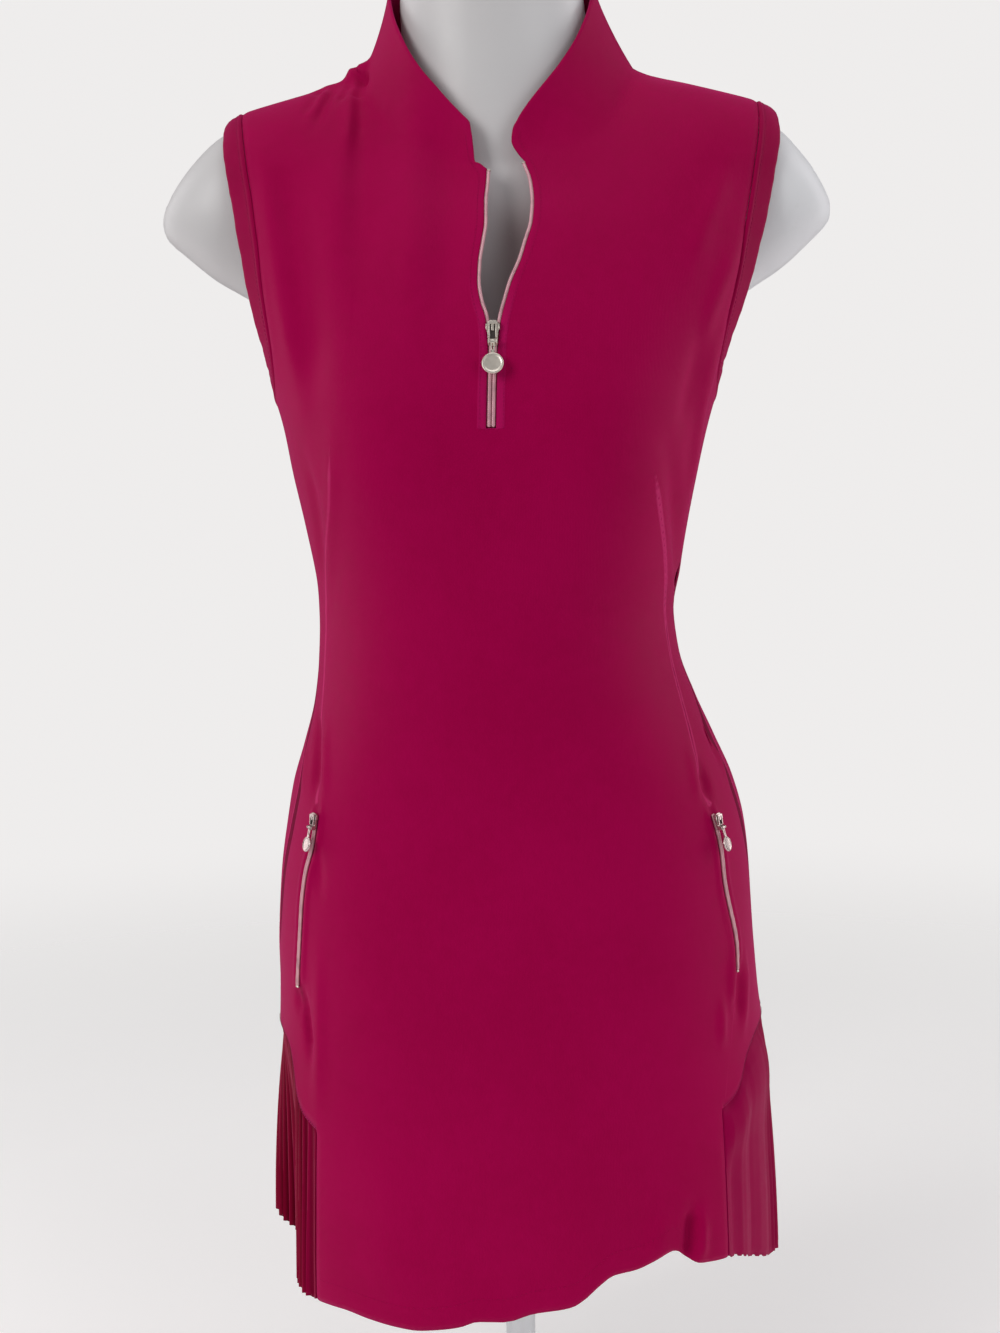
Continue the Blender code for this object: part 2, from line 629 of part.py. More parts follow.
def armhole_band(name, side, front, back, mat):
    """Band sewn round the armhole, leaning in to the shoulder end."""
    fn, bn = front.normals(), back.normals()
    ring = []
    up = front.edge(side, K_FRONT, range(front.under_row, front.yoke_top + 1))
    down = back.edge(side, K_BACK, range(back.yoke_top, back.under_row - 1, -1))
    for i in up:
        ring.append((front.points[i], fn[i]))
    for i in down:
        ring.append((back.points[i], bn[i]))
    tip = len(up) - 1
    merged = []
    for i, (p, n) in enumerate(ring):
        if i == tip:
            q, m = ring[i + 1]
            merged.append(((p + q) / 2, (n + m).normalized()))
        elif i == tip + 1 or i == len(ring) - 1:
            continue
        elif i == 0:
            q, m = ring[-1]
            merged.append(((p + q) / 2, (n + m).normalized()))
        else:
            merged.append((p, n))
    count = len(merged)
    heart = Vector((side * 0.19, SEAM_Y, 0.90))
    rings = [[], [], [], [], [], []]
    for i, (p, n) in enumerate(merged):
        tangent = (merged[(i + 1) % count][0] - merged[i - 1][0]).normalized()
        d = n.cross(tangent).normalized()
        if d.dot(heart - p) < 0:
            d = -d
        lean = d * math.cos(BAND_LEAN) - n * math.sin(BAND_LEAN)
        face = n * math.cos(BAND_LEAN) + d * math.sin(BAND_LEAN)
        start = p + d * GAP
        rings[0].append(start)
        rings[1].append(start + (d * 0.35 + lean * 0.65) * BAND_W * 0.5)
        rings[2].append(start + lean * BAND_W)
        rings[3].append(start + lean * BAND_W - face * CLOTH)
        rings[4].append(start + (d * 0.35 + lean * 0.65) * BAND_W * 0.5 - face * CLOTH)
        rings[5].append(start - n * CLOTH)
    points = [p for r in rings for p in r]
    faces = []
    for j in range(6):
        for i in range(count):
            k, m = (i + 1) % count, (j + 1) % 6
            f = (j * count + i, m * count + i, m * count + k, j * count + k)
            faces.append(f if side > 0 else tuple(reversed(f)))
    return piece(name, points, faces, mat)


def polyline(points):
    """Length along a line of points, and a reader at a fraction of it."""
    total = [0.0]
    for a, b in zip(points, points[1:]):
        total.append(total[-1] + (b - a).length)

    def read(t):
        s = t * total[-1]
        j = max(i for i in range(len(points) - 1) if total[i] <= s + 1e-12)
        return points[j].lerp(points[j + 1], min(1.0, (s - total[j]) / (total[j + 1] - total[j])))

    return total[-1], read


def rounded(table, steps):
    """Smooth line (Catmull-Rom) through the rows of a table."""
    p = [Vector(row) for row in table]
    p = [2 * p[0] - p[1]] + p + [2 * p[-1] - p[-2]]
    out = []
    for i in range(1, len(p) - 2):
        for s in range(steps):
            t = s / steps
            a, b, c, d = p[i - 1:i + 3]
            out.append(0.5 * (2 * b + (c - a) * t + (2 * a - 5 * b + 4 * c - d) * t * t
                              + (3 * b - a - 3 * c + d) * t ** 3))
    out.append(p[-2])
    return out


def flounce(front, back, mat):
    """Pleated cloth hung from the seam, from one edge of the apron to the other."""
    low = front.first_low
    top = [front.points[front.grid[(-1, low, k)]] for k in range(K_APRON, K_FRONT + 1)]
    top += [back.points[back.grid[(-1, 0, k)]] for k in range(K_BACK, 0, -1)]
    top += [back.points[back.grid[(1, 0, k)]] for k in range(0, K_BACK + 1)]
    top += [front.points[front.grid[(1, low, k)]] for k in range(K_FRONT, K_APRON - 1, -1)]
    _, upper = polyline(top)
    _, lower = polyline(rounded(FLOUNCE_HEM, 6))
    sheet = Sheet()
    columns = 2 * PLEATS
    ends = {}
    for side, t in ((-1, 0.0), (1, 1.0)):
        ends[side] = []
        for r in range(APRON_ROWS + 1):
            v = r / APRON_ROWS
            p = front.points[front.grid[(side, r, K_APRON)]]
            q = front.points[front.grid[(side, r, K_APRON - 1)]]
            flat = (p - q)
            flat.z = 0
            ends[side].append(p + flat.normalized() * HANG - Vector((0, 0, HANG * v)))
    grid, inside = {}, {}
    for i in range(columns + 1):
        t = i / columns
        for r in range(APRON_ROWS + 1):
            v = r / APRON_ROWS

            def line(s):
                s = min(1.0, max(0.0, s))
                a, b = lower(s), upper(s) - Vector((0, 0, HANG))
                p = a.lerp(b, v * v)
                p.z = a.z + (b.z - a.z) * v
                for side, e in ((-1, 0.0), (1, 1.0)):
                    fade = math.exp(-((s - e) / 0.03) ** 2)
                    low_end, high_end = lower(e), upper(e) - Vector((0, 0, HANG))
                    rest = low_end.lerp(high_end, v * v)
                    rest.z = low_end.z + (high_end.z - low_end.z) * v
                    p = p + (ends[side][r] - rest) * fade
                return p
            p = line(t)
            run = line(t + 0.004) - line(t - 0.004)
            n = Vector((-run.y, run.x, 0)).normalized()
            if n.dot(Vector((p.x, p.y - 0.02, 0))) < 0:
                n = -n
            depth = PLEAT_HEM + (PLEAT_TOP - PLEAT_HEM) * v
            if 0 < i < columns:
                p = p + n * (depth * (-1 if i % 2 else 1) * (0.5 if i in (1, columns - 1) else 1) - PLEAT_TOP)
            grid[(i, r)] = sheet.add(p)
            inside[(i, r)] = n
    count = len(sheet.points)
    points = list(sheet.points)
    for i in range(columns + 1):
        for r in range(APRON_ROWS + 1):
            points.append(points[grid[(i, r)]] - inside[(i, r)] * FLOUNCE_WALL)
    faces = []
    for i in range(columns):
        for r in range(APRON_ROWS):
            f = (grid[(i, r)], grid[(i, r + 1)], grid[(i + 1, r + 1)], grid[(i + 1, r)])
            faces.append(f)
            faces.append(tuple(q + count for q in reversed(f)))
    edges = set()
    for f in faces[::2]:
        for a in range(4):
            edges.add((f[a], f[(a + 1) % 4]))
    for a, b in sorted(edges):
        if (b, a) not in edges:
            faces.append((b, a, a + count, b + count))
    return points, faces


# ----------------------------------------------------------- zips


def column_at(panel, side, z):
    """Point on the slit's edge of the panel, on its own straight rows."""
    pts = [panel.points[i] for i in panel.edge(side, 0, range(panel.slot_row, panel.yoke_top + 1))]
    for a, b in zip(pts, pts[1:]):
        if a.z <= z <= b.z + 1e-9:
            return a.lerp(b, (z - a.z) / (b.z - a.z))
    return pts[-1].copy()


def slit_levels(panel, side, lo, hi):
    zs = [panel.points[i].z for i in panel.edge(side, 0, range(panel.slot_row, panel.yoke_top + 1))]
    return [lo] + [z for z in zs if lo + 0.002 < z < hi - 0.002] + [hi]


def strip(lines, thickness, lift, normal):
    """Closed bar between two lines of points."""
    sheet = Sheet()
    left, right = lines
    ids = [(sheet.add(a), sheet.add(b)) for a, b in zip(left, right)]
    for i, n in enumerate(normal):
        for q in ids[i]:
            sheet.fixed[q] = lambda _, n=n: n
    for (a, b), (c, d) in zip(ids, ids[1:]):
        p = sheet.points
        f = (a, b, d, c)
        if (p[b] - p[a]).cross(p[d] - p[a]).dot(normal[0]) < 0:
            f = tuple(reversed(f))
        sheet.quad(*f)
    return sheet.wall(thickness, lift)


def local_frame(point, normal, down):
    """Axes of a zip's hardware: X its hinge, Y out of the cloth, Z up along it."""
    n = normal.normalized()
    d = (down - n * down.dot(n)).normalized()
    x = d.cross(n)
    m = Matrix((x, n, -d)).transposed().to_4x4()
    m.translation = point
    return m


PIVOT_H = 0.0044        # hinge above the cloth
TILT = math.radians(7)  # the tab leans on the cloth
DISC_R, DISC_FAR = 0.0079, 0.0150


def slider(name, cloth_point, normal, down, scale, mat):
    """Slider body with two cheeks and the pin of the pull between them."""
    s = scale
    xs = [v * s for v in (-0.0040, -0.0032, -0.0022, 0.0022, 0.0032, 0.0040)]
    ys = [v * s for v in (-0.0036, -0.0020, -0.00045, 0.00045, 0.0014)]
    zs = [v * s for v in (-0.0020, -0.00045, 0.00045, 0.0020, 0.0045, 0.0150)]

    def filled(x, y, z):
        x, y, z = abs(x / s), y / s, z / s
        body = y < -0.0020
        crown = y < -0.00045 and z > 0.0045
        cheek = 0.0022 < x < 0.0032 and z < 0.0020
        pin = x < 0.0022 and abs(y) < 0.00045 and abs(z) < 0.00045
        return body or crown or cheek or pin

    points, faces = cells(xs, ys, zs, filled)
    frame = local_frame(cloth_point + normal * PIVOT_H * s, normal, down)
    return piece(name, points, faces, mat, smooth=False, frame=frame), frame


def pull(name, slider_frame, scale, mat):
    """Round tab on a short neck, its eye turning on the slider's pin."""
    s = scale
    outer, bore, half = 0.0016 * s, 0.0009 * s, 0.0018 * s
    t = outer * math.tan(math.radians(22.5))
    points, faces = [], []

    def ring(r):
        k = r / math.cos(math.radians(22.5))
        return [(k * math.cos(math.radians(22.5 + 45 * i)), k * math.sin(math.radians(22.5 + 45 * i))) for i in range(8)]

    def add(*pts):
        base = len(points)
        points.extend(pts)
        faces.append(tuple(range(base, base + len(pts))))

    ro, ri = ring(outer), ring(bore)
    for i in range(8):
        j = (i + 1) % 8
        a, b, c, d = ro[i], ro[j], ri[i], ri[j]
        mid = ((a[0] + b[0]) / 2, (a[1] + b[1]) / 2)
        if not (abs(mid[0]) < 1e-6 and mid[1] < 0):
            add((-half, *b), (half, *b), (half, *a), (-half, *a))
        add((half, *c), (half, *d), (-half, *d), (-half, *c))
        add((half, *b), (half, *d), (half, *c), (half, *a))
        add((-half, *c), (-half, *d), (-half, *b), (-half, *a))
    # neck and disc, outlined in the plane of the tab
    r, far = DISC_R * s, DISC_FAR * s
    start = math.degrees(math.asin(half / r))
    n = 26
    outline = [(-half, -outer)]
    for i in range(n + 1):
        a = math.radians(90 + start + (360 - 2 * start) * i / n)
        outline.append((r * math.cos(a), -far + r * math.sin(a)))
    outline.append((half, -outer))
    front = [(x, t, z) for x, z in outline]
    rear = [(x, -t, z) for x, z in outline]
    add(*reversed(front))
    add(*rear)
    m = len(outline)
    for i in range(m - 1):
        add(front[i], front[i + 1], rear[i + 1], rear[i])
    frame = slider_frame @ Matrix.Rotation(-TILT, 4, 'X').inverted()
    return piece(name, points, faces, mat, smooth=False, frame=frame)


# ----------------------------------------------------------- form and stand


def lofted(rings, sides):
    """Closed solid through level sections: z, middle, half width, front, back, squareness."""
    middle = SEAM_Y * 0.5
    points = []
    for z, cx, w, f, b, n in rings:
        for i in range(sides):
            a = 2 * math.pi * i / sides
            s, c = math.sin(a), math.cos(a)
            x = cx + w * math.copysign(abs(s) ** (2 / n), s)
            m = abs(c) ** (2 / n)
            points.append((x, middle - (f + middle) * m if c >= 0 else middle + (b - middle) * m, z))
    faces = []
    for j in range(len(rings) - 1):
        for i in range(sides):
            k = (i + 1) % sides
            faces.append((j * sides + i, j * sides + k, (j + 1) * sides + k, (j + 1) * sides + i))
    faces.append(tuple(reversed(range(sides))))
    faces.append(tuple(range((len(rings) - 1) * sides, len(rings) * sides)))
    return points, faces


def torso():
    """Torso of the form, flat under the hips."""
    rings = []
    for z in (FORM_BOTTOM, 0.32, 0.345, 0.38, 0.43, 0.48, 0.53, 0.58, 0.62, 0.66, 0.70, 0.745):
        clear = FORM_CLEAR + max(0.0, 0.36 - z) * 0.25
        rings.append((z, curve(BODY, CX, z), curve(BODY, A, z) - clear, curve(BODY, FRONT, z) - clear,
                      curve(BODY, BACK, z) - clear, curve(BODY, N, z)))
    for z, w, f, b in TORSO:
        rings.append((z, curve(BODY, CX, z), w, f, b, 2.0 + 0.4 * max(0.0, min(1.0, (0.95 - z) / 0.15))))
    return lofted(rings, 26)


def neck():
    """Neck of the form, cut off flat."""
    rings = [(z, -0.0035 * max(0.0, min(1.0, (z - 1.03) / 0.05)), w, f, b, 2.0) for z, w, f, b in NECK]
    return lofted(rings, 20)


def stub(side):
    """Shoulder stub, lofted outwards and closed at both ends."""
    sides = 16
    points = []
    for x, zc, hz, hy in STUB:
        for i in range(sides):
            a = 2 * math.pi * i / sides
            points.append((side * x - 0.004 * max(0.0, (x - 0.13) / 0.1), SEAM_Y * 0.6 + hy * math.sin(a), zc + hz * math.cos(a)))
    faces = []
    count = len(STUB)
    for j in range(count - 1):
        for i in range(sides):
            k = (i + 1) % sides
            faces.append((j * sides + i, (j + 1) * sides + i, (j + 1) * sides + k, j * sides + k))
    faces.append(tuple(range(sides)))
    faces.append(tuple(reversed(range((count - 1) * sides, count * sides))))
    if side > 0:
        faces = [tuple(reversed(f)) for f in faces]
    return points, faces


def main():
    for obj in list(bpy.data.objects):
        bpy.data.objects.remove(obj, do_unlink=True)

    dress = material("dress_knit", (0.279, 0.002, 0.048), 0.6)
    metal = material("zip_metal", (0.72, 0.68, 0.66), 0.28, 1.0)
    chain = material("zip_chain_silver", (0.70, 0.60, 0.62), 0.35, 0.8)
    shell = material("form_white", (0.62, 0.64, 0.66), 0.25)
    steel = material("stand_steel", (0.60, 0.61, 0.62), 0.2, 1.0)

    front, back = Panel(True), Panel(False)
    piece("front", *front.wall(CLOTH), dress)
    piece("back", *back.wall(CLOTH), dress)
    armhole_band("armhole_band_left", -1, front, back, dress)
    armhole_band("armhole_band_right", 1, front, back, dress)
    piece("flounce", *flounce(front, back, dress), dress, smooth=False)

    # centre zip: the closed chain in its slot, and the two open sides above
    z_join = 0.8490
    levels = slit_levels(front, 1, SLOT_Z + GAP, z_join)
    left = [column_at(front, -1, z) + Vector((GAP, 0, 0)) for z in levels]
    right = [column_at(front, 1, z) - Vector((GAP, 0, 0)) for z in levels]
    normal = [front_at(-0.002, z)[1] for z in levels]
    piece("zip_chain_closed", *strip((left, right), 0.0020, 0.0004, normal), chain, smooth=False)
    for side, name in ((-1, "zip_chain_left"), (1, "zip_chain_right")):
        levels = slit_levels(front, side, z_join + GAP, SLIT_TOP[side])
        outer = [column_at(front, side, z) - Vector((side * GAP, 0, 0)) for z in levels]
        inner = [p - Vector((side * 0.0026, 0, 0)) for p in outer]
        normal = [front_at(p.x, p.z)[1] for p in outer]
        lines = (inner, outer) if side > 0 else (outer, inner)
        piece(name, *strip(lines, 0.0020, 0.0004, normal), chain, smooth=False)
    point, n = front_at(-0.0018, 0.8330)
    below = front_at(-0.0018, 0.8130)[0]
    body, frame = slider("front_slider", point, n, below - point, 1.0, metal)
    pull("front_pull", frame, 1.0, metal)

    # pocket zips on the front panel
    for side, name in ((-1, "left"), (1, "right")):
        rows = POCKET[side]
        centre, normals = [], []
        for z, x in rows:
            p, n = front_at(x, z)
            centre.append(p)
            normals.append(n)
        left, right = [], []
        for i, p in enumerate(centre):
            run = centre[min(i + 1, len(centre) - 1)] - centre[max(i - 1, 0)]
            across = run.cross(normals[i]).normalized() * 0.0021
            left.append(p - across)
            right.append(p + across)
        sheet = strip((left, right), 0.0014, 0.0022, normals)
        piece("pocket_chain_" + name, *sheet, chain, smooth=False)
        p, n = front_at(curve(tuple(reversed(rows)), 1, rows[1][0] + 0.0005), rows[1][0] + 0.0005)
        q = front_at(curve(tuple(reversed(rows)), 1, rows[2][0]), rows[2][0])[0]
        down = (q - p).normalized() * 0.4 - Vector((0, 0, 0.6))
        body, frame = slider("pocket_slider_" + name, p + n * 0.0022, n, down, 0.85, metal)
        pull("pocket_pull_" + name, frame, 0.85, metal)

    # form: torso with its stubs joined on
    body = piece("form", *torso(), shell)
    for name, solid in (("neck", neck()), ("stub_left", stub(-1)), ("stub_right", stub(1))):
        part = piece(name, *solid, shell)
        part.hide_render = True
        part.display_type = 'WIRE'
        union = body.modifiers.new(name, 'BOOLEAN')
        union.operation = 'UNION'
        union.solver = 'EXACT'
        union.object = part

    # stand
    profile = ((0.0, 0.0), (BASE_R - 0.001, 0.0), (BASE_R, 0.001), (BASE_R, BASE_T - 0.003),
               (BASE_R - 0.003, BASE_T), (0.0, BASE_T))
    piece("stand_base", *turned(profile, 48), steel)
    bore = POLE_R + 0.0005
    low = BASE_T + 0.0003
    profile = ((bore, low), (SOCKET_R + 0.004, low), (SOCKET_R + 0.004, low + 0.004), (SOCKET_R, low + 0.007),
               (SOCKET_R - 0.004, low + SOCKET_H), (bore, low + SOCKET_H), (bore, low))
    piece("stand_socket", *turned(profile, 20), steel)
    profile = ((0.0, low), (POLE_R, low), (POLE_R, FORM_BOTTOM - 0.0004), (0.0, FORM_BOTTOM - 0.0004))
    piece("stand_pole", *turned(profile, 20), steel)


main()
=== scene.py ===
"""Looks of a sleeveless shift dress on its limbless form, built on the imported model.

Metres, +Z up, the front of the dress towards -Y.  The cloth pieces repeat the
body sections of the solids at a finer step, and add what the solids leave
out: soft folds, rolled edges, seams, stitches, pleats and zip coils.
"""

import bpy
import json
import math
import numpy as np
from mathutils import Matrix, Vector

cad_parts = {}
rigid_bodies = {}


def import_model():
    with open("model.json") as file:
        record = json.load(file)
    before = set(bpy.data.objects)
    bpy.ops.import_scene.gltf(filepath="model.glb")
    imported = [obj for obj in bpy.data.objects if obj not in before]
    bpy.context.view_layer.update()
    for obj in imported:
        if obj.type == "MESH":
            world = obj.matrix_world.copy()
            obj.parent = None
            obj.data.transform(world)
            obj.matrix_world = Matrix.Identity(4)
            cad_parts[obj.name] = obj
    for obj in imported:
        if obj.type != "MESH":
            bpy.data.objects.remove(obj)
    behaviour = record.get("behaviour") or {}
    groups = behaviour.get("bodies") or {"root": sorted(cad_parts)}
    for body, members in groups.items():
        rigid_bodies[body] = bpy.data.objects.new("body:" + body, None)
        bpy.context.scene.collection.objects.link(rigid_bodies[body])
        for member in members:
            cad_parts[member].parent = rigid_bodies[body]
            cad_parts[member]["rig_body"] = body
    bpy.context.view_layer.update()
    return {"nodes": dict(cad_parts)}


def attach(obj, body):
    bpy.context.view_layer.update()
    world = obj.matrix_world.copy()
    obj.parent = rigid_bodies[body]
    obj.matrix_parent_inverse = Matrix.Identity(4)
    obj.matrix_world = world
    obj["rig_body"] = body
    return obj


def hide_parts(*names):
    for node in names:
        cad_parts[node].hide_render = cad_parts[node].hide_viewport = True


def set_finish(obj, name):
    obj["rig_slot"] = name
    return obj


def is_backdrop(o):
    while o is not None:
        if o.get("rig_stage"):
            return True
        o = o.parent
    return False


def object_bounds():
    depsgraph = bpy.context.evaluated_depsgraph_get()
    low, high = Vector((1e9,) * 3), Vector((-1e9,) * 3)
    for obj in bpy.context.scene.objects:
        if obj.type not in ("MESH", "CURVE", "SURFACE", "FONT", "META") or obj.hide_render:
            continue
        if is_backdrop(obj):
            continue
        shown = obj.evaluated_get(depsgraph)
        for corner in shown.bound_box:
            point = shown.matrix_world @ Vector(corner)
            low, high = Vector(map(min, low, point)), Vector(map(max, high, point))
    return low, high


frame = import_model()

# ----------------------------------------------------------- driving sizes
CLOTH = 0.0016          # wall of the cloth
GAP = 0.0004            # between two pieces at a seam
SEAM_Y = 0.004          # plane of the shoulder and side seams
UNDERARM_Z = 0.7925     # foot of the armhole seam
FULL_Z = 0.385          # first level row above the flounce seam
SLOT_Z = 0.779          # foot of the centre zip
ZIP_HALF = 0.0032       # half the slot of the closed zip
BUST = 0.006            # extra depth of each bust point
NECK_X = 0.094          # half width of the neck at the shoulder seam
NECK_Z = 1.028          # and its height
BAND_W = 0.0170         # armhole band
BAND_LEAN = math.radians(6)
APRON_TH = 48.6         # half angle of the apron between the pleats
PLEATS = 80             # folds in the flounce
PLEAT_HEM = 0.0034      # half depth of a fold at the hem
PLEAT_TOP = 0.0006      # and under the seam
FLOUNCE_WALL = 0.0022   # measured across the folds
HANG = 0.0011           # the flounce below and beside the panels it is sewn to

# coarse columns from the centre to the side; the fine ones lie between them
K_FRONT, K_APRON, K_NECK = 11, 6, 5
K_BACK, K_BACK_NECK = 8, 4

# body sections: height, middle, half width, depth in front and behind, squareness
BODY = (
    # z      cx       a       front    back    n
    (0.150, 0.0045, 0.1860, 0.1330, 0.1500, 2.30),
    (0.200, 0.0045, 0.1855, 0.1310, 0.1480, 2.30),
    (0.250, 0.0045, 0.1840, 0.1280, 0.1450, 2.30),
    (0.300, 0.0045, 0.1815, 0.1250, 0.1420, 2.30),
    (0.345, 0.0042, 0.1772, 0.1230, 0.1380, 2.30),
    (0.380, 0.0030, 0.1745, 0.1220, 0.1340, 2.30),
    (0.420, 0.0018, 0.1726, 0.1210, 0.1300, 2.30),
    (0.465, 0.0022, 0.1696, 0.1200, 0.1240, 2.30),
    (0.500, 0.0027, 0.1650, 0.1190, 0.1170, 2.30),
    (0.530, 0.0014, 0.1585, 0.1180, 0.1080, 2.28),
    (0.560, -0.0005, 0.1475, 0.1170, 0.0990, 2.25),
    (0.590, -0.0030, 0.1365, 0.1160, 0.0910, 2.22),
    (0.620, -0.0065, 0.1294, 0.1155, 0.0850, 2.20),
    (0.650, -0.0076, 0.1269, 0.1150, 0.0820, 2.20),
    (0.680, -0.0055, 0.1300, 0.1190, 0.0830, 2.30),
    (0.715, -0.0055, 0.1357, 0.1250, 0.0880, 2.45),
    (0.750, -0.0055, 0.1425, 0.1300, 0.0940, 2.60),
    (0.7925, -0.0048, 0.1520, 0.1295, 0.0990, 2.60),
    (0.815, -0.0045, 0.1605, 0.1265, 0.1015, 2.55),
    (0.840, -0.0045, 0.1720, 0.1210, 0.1030, 2.50),
    (0.872, -0.0040, 0.1870, 0.1110, 0.1030, 2.45),
    (0.910, -0.0030, 0.2020, 0.0955, 0.0985, 2.40),
    (0.950, -0.0020, 0.2130, 0.0745, 0.0900, 2.35),
    (0.990, 0.0000, 0.2190, 0.0600, 0.0760, 2.30),
    (1.040, 0.0000, 0.2200, 0.0500, 0.0600, 2.30),
    (1.200, 0.0000, 0.2200, 0.0480, 0.0550, 2.30),
)
CX, A, FRONT, BACK, N = 1, 2, 3, 4, 5

# top line of the shoulder, from the neck to the armhole, and the height in which it rounds over
SHOULDER = (
    # x      z       round
    (0.000, 1.1500, 0.105), (0.070, 1.0650, 0.105), (0.085, 1.0400, 0.100), (0.094, 1.0280, 0.094),
    (0.1037, 1.0235, 0.085), (0.1295, 1.0165, 0.066), (0.150, 1.0105, 0.055), (0.1757, 1.0035, 0.048),
    (0.185, 1.0005, 0.046), (0.1918, 0.9972, 0.045), (0.195, 0.9950, 0.045), (0.220, 0.9800, 0.045),
)
# armhole seam on the front and back, as an angle from the centre
ARMHOLE = (
    # z       left   right
    (0.7925, 90.0, 90.0), (0.7970, 82.0, 83.0), (0.8030, 74.5, 76.5),
    (0.8150, 65.5, 69.0), (0.8410, 56.5, 62.0), (0.8780, 51.0, 57.0),
    (0.9080, 48.5, 54.0), (0.9350, 48.0, 53.0), (0.9630, 49.0, 52.6),
    (0.9850, 50.5, 52.4), (1.0030, 52.0, 52.4),
)
# side seams, in degrees from the centre front
SIDE = (
    # z      left  right
    (0.345, 86.5, 87.5), (0.400, 81.0, 86.0), (0.440, 77.0, 84.0),
    (0.480, 73.0, 80.5), (0.505, 70.0, 77.5), (0.530, 68.0, 76.5),
    (0.560, 74.0, 77.0), (0.600, 82.0, 84.0), (0.660, 87.0, 88.0),
    (0.740, 90.0, 90.0), (0.7925, 90.0, 90.0),
)
# edges of the centre slit
SLIT = (
    # z      left     right
    (0.7790, -0.0070, -0.0006), (0.8130, -0.0058, 0.0006), (0.8320, -0.0050, 0.0014),
    (0.8495, -0.0064, 0.0037), (0.8610, -0.0099, 0.0068), (0.8740, -0.0118, 0.0108),
    (0.8875, -0.0112, 0.0167), (0.9005, -0.0092, 0.0207), (0.9140, -0.0073, 0.0246),
    (0.9280, -0.0073, 0.0255), (0.9415, -0.0061, 0.0243), (0.9550, -0.0054, 0.0197),
)
SLIT_TOP = {-1: 0.9504, 1: 0.9553}
# front ends of the collar, from the slit up to the corner
COLLAR_END = (
    # v    left x   left z   right x  right z
    (0.00, -0.0054, 0.9504, 0.0197, 0.9553),
    (0.25, -0.0138, 0.9560, 0.0152, 0.9605),
    (0.50, -0.0150, 0.9660, 0.0110, 0.9690),
    (0.75, -0.0160, 0.9760, 0.0118, 0.9765),
    (1.00, -0.0167, 0.9830, 0.0147, 0.9830),
)
# top edge of the collar, round from the front
COLLAR_TOP = (
    # tau   x       y       z
    (12, 0.0150, -0.0640, 0.9830), (28, 0.0335, -0.0580, 1.0040),
    (43, 0.0480, -0.0480, 1.0230), (59, 0.0610, -0.0340, 1.0450),
    (74, 0.0685, -0.0170, 1.0660), (90, 0.0712, 0.0030, 1.0830),
    (120, 0.0600, 0.0300, 1.0940), (150, 0.0350, 0.0450, 1.0980),
    (180, 0.0000, 0.0500, 1.0990),
)
# hem of the front apron
HEM = (
    # x       z
    (-0.150, 0.1740), (-0.1204, 0.1740), (-0.1013, 0.1713), (-0.082, 0.1689),
    (-0.0680, 0.1679), (-0.0548, 0.1692), (-0.0368, 0.1724), (-0.0244, 0.1765),
    (-0.0067, 0.1766), (0.0130, 0.1824), (0.0395, 0.1866), (0.0484, 0.1918),
    (0.0580, 0.2002), (0.0683, 0.2070), (0.0847, 0.2095), (0.0971, 0.2141),
    (0.1097, 0.2190), (0.1279, 0.2067), (0.1474, 0.2043), (0.160, 0.2040),
)
# seam above the pleats
FLOUNCE_SEAM = (
    # th     left    right
    (48.0, 0.2955, 0.3090), (55.0, 0.3050, 0.3170), (58.5, 0.3166, 0.3260),
    (61.0, 0.3330, 0.3360), (65.0, 0.3480, 0.3450), (72.0, 0.3540, 0.3525),
    (90.0, 0.3580, 0.3580), (120.0, 0.3610, 0.3610), (180.0, 0.3620, 0.3620),
)
# plan of the flounce at its hem, from the left end of the apron round the back
FLOUNCE_HEM = (
    # x       y        z
    (-0.1413, -0.0900, 0.1740), (-0.1520, -0.0700, 0.1710), (-0.1600, -0.0450, 0.1690),
    (-0.1605, -0.0200, 0.1700), (-0.1600, 0.0020, 0.1720), (-0.1680, 0.0240, 0.1750),
    (-0.1840, 0.0430, 0.1780), (-0.1915, 0.0660, 0.1800), (-0.1860, 0.0910, 0.1800),
    (-0.1660, 0.1150, 0.1810), (-0.1330, 0.1370, 0.1810), (-0.0900, 0.1530, 0.1820),
    (-0.0400, 0.1600, 0.1820), (0.0100, 0.1620, 0.1820), (0.0550, 0.1590, 0.1820),
    (0.1000, 0.1490, 0.1810), (0.1400, 0.1300, 0.1800), (0.1680, 0.1050, 0.1780),
    (0.1840, 0.0750, 0.1760), (0.1900, 0.0420, 0.1740), (0.1915, 0.0080, 0.1720),
    (0.1850, -0.0250, 0.1780), (0.1730, -0.0520, 0.1880), (0.1600, -0.0740, 0.1980),
    (0.1474, -0.0913, 0.2043),
)
# zips on the pockets: the line of the chain from its slider down
POCKET = {
    # z      x
    -1: ((0.5235, -0.1306), (0.5081, -0.1318), (0.4909, -0.1352), (0.4774, -0.1400),
         (0.4560, -0.1434), (0.4274, -0.1460), (0.3946, -0.1488)),
    1: ((0.5195, 0.1388), (0.5035, 0.1432), (0.4877, 0.1466), (0.4672, 0.1478),
        (0.4486, 0.1512), (0.4293, 0.1555), (0.4148, 0.1575), (0.4019, 0.1560)),
}
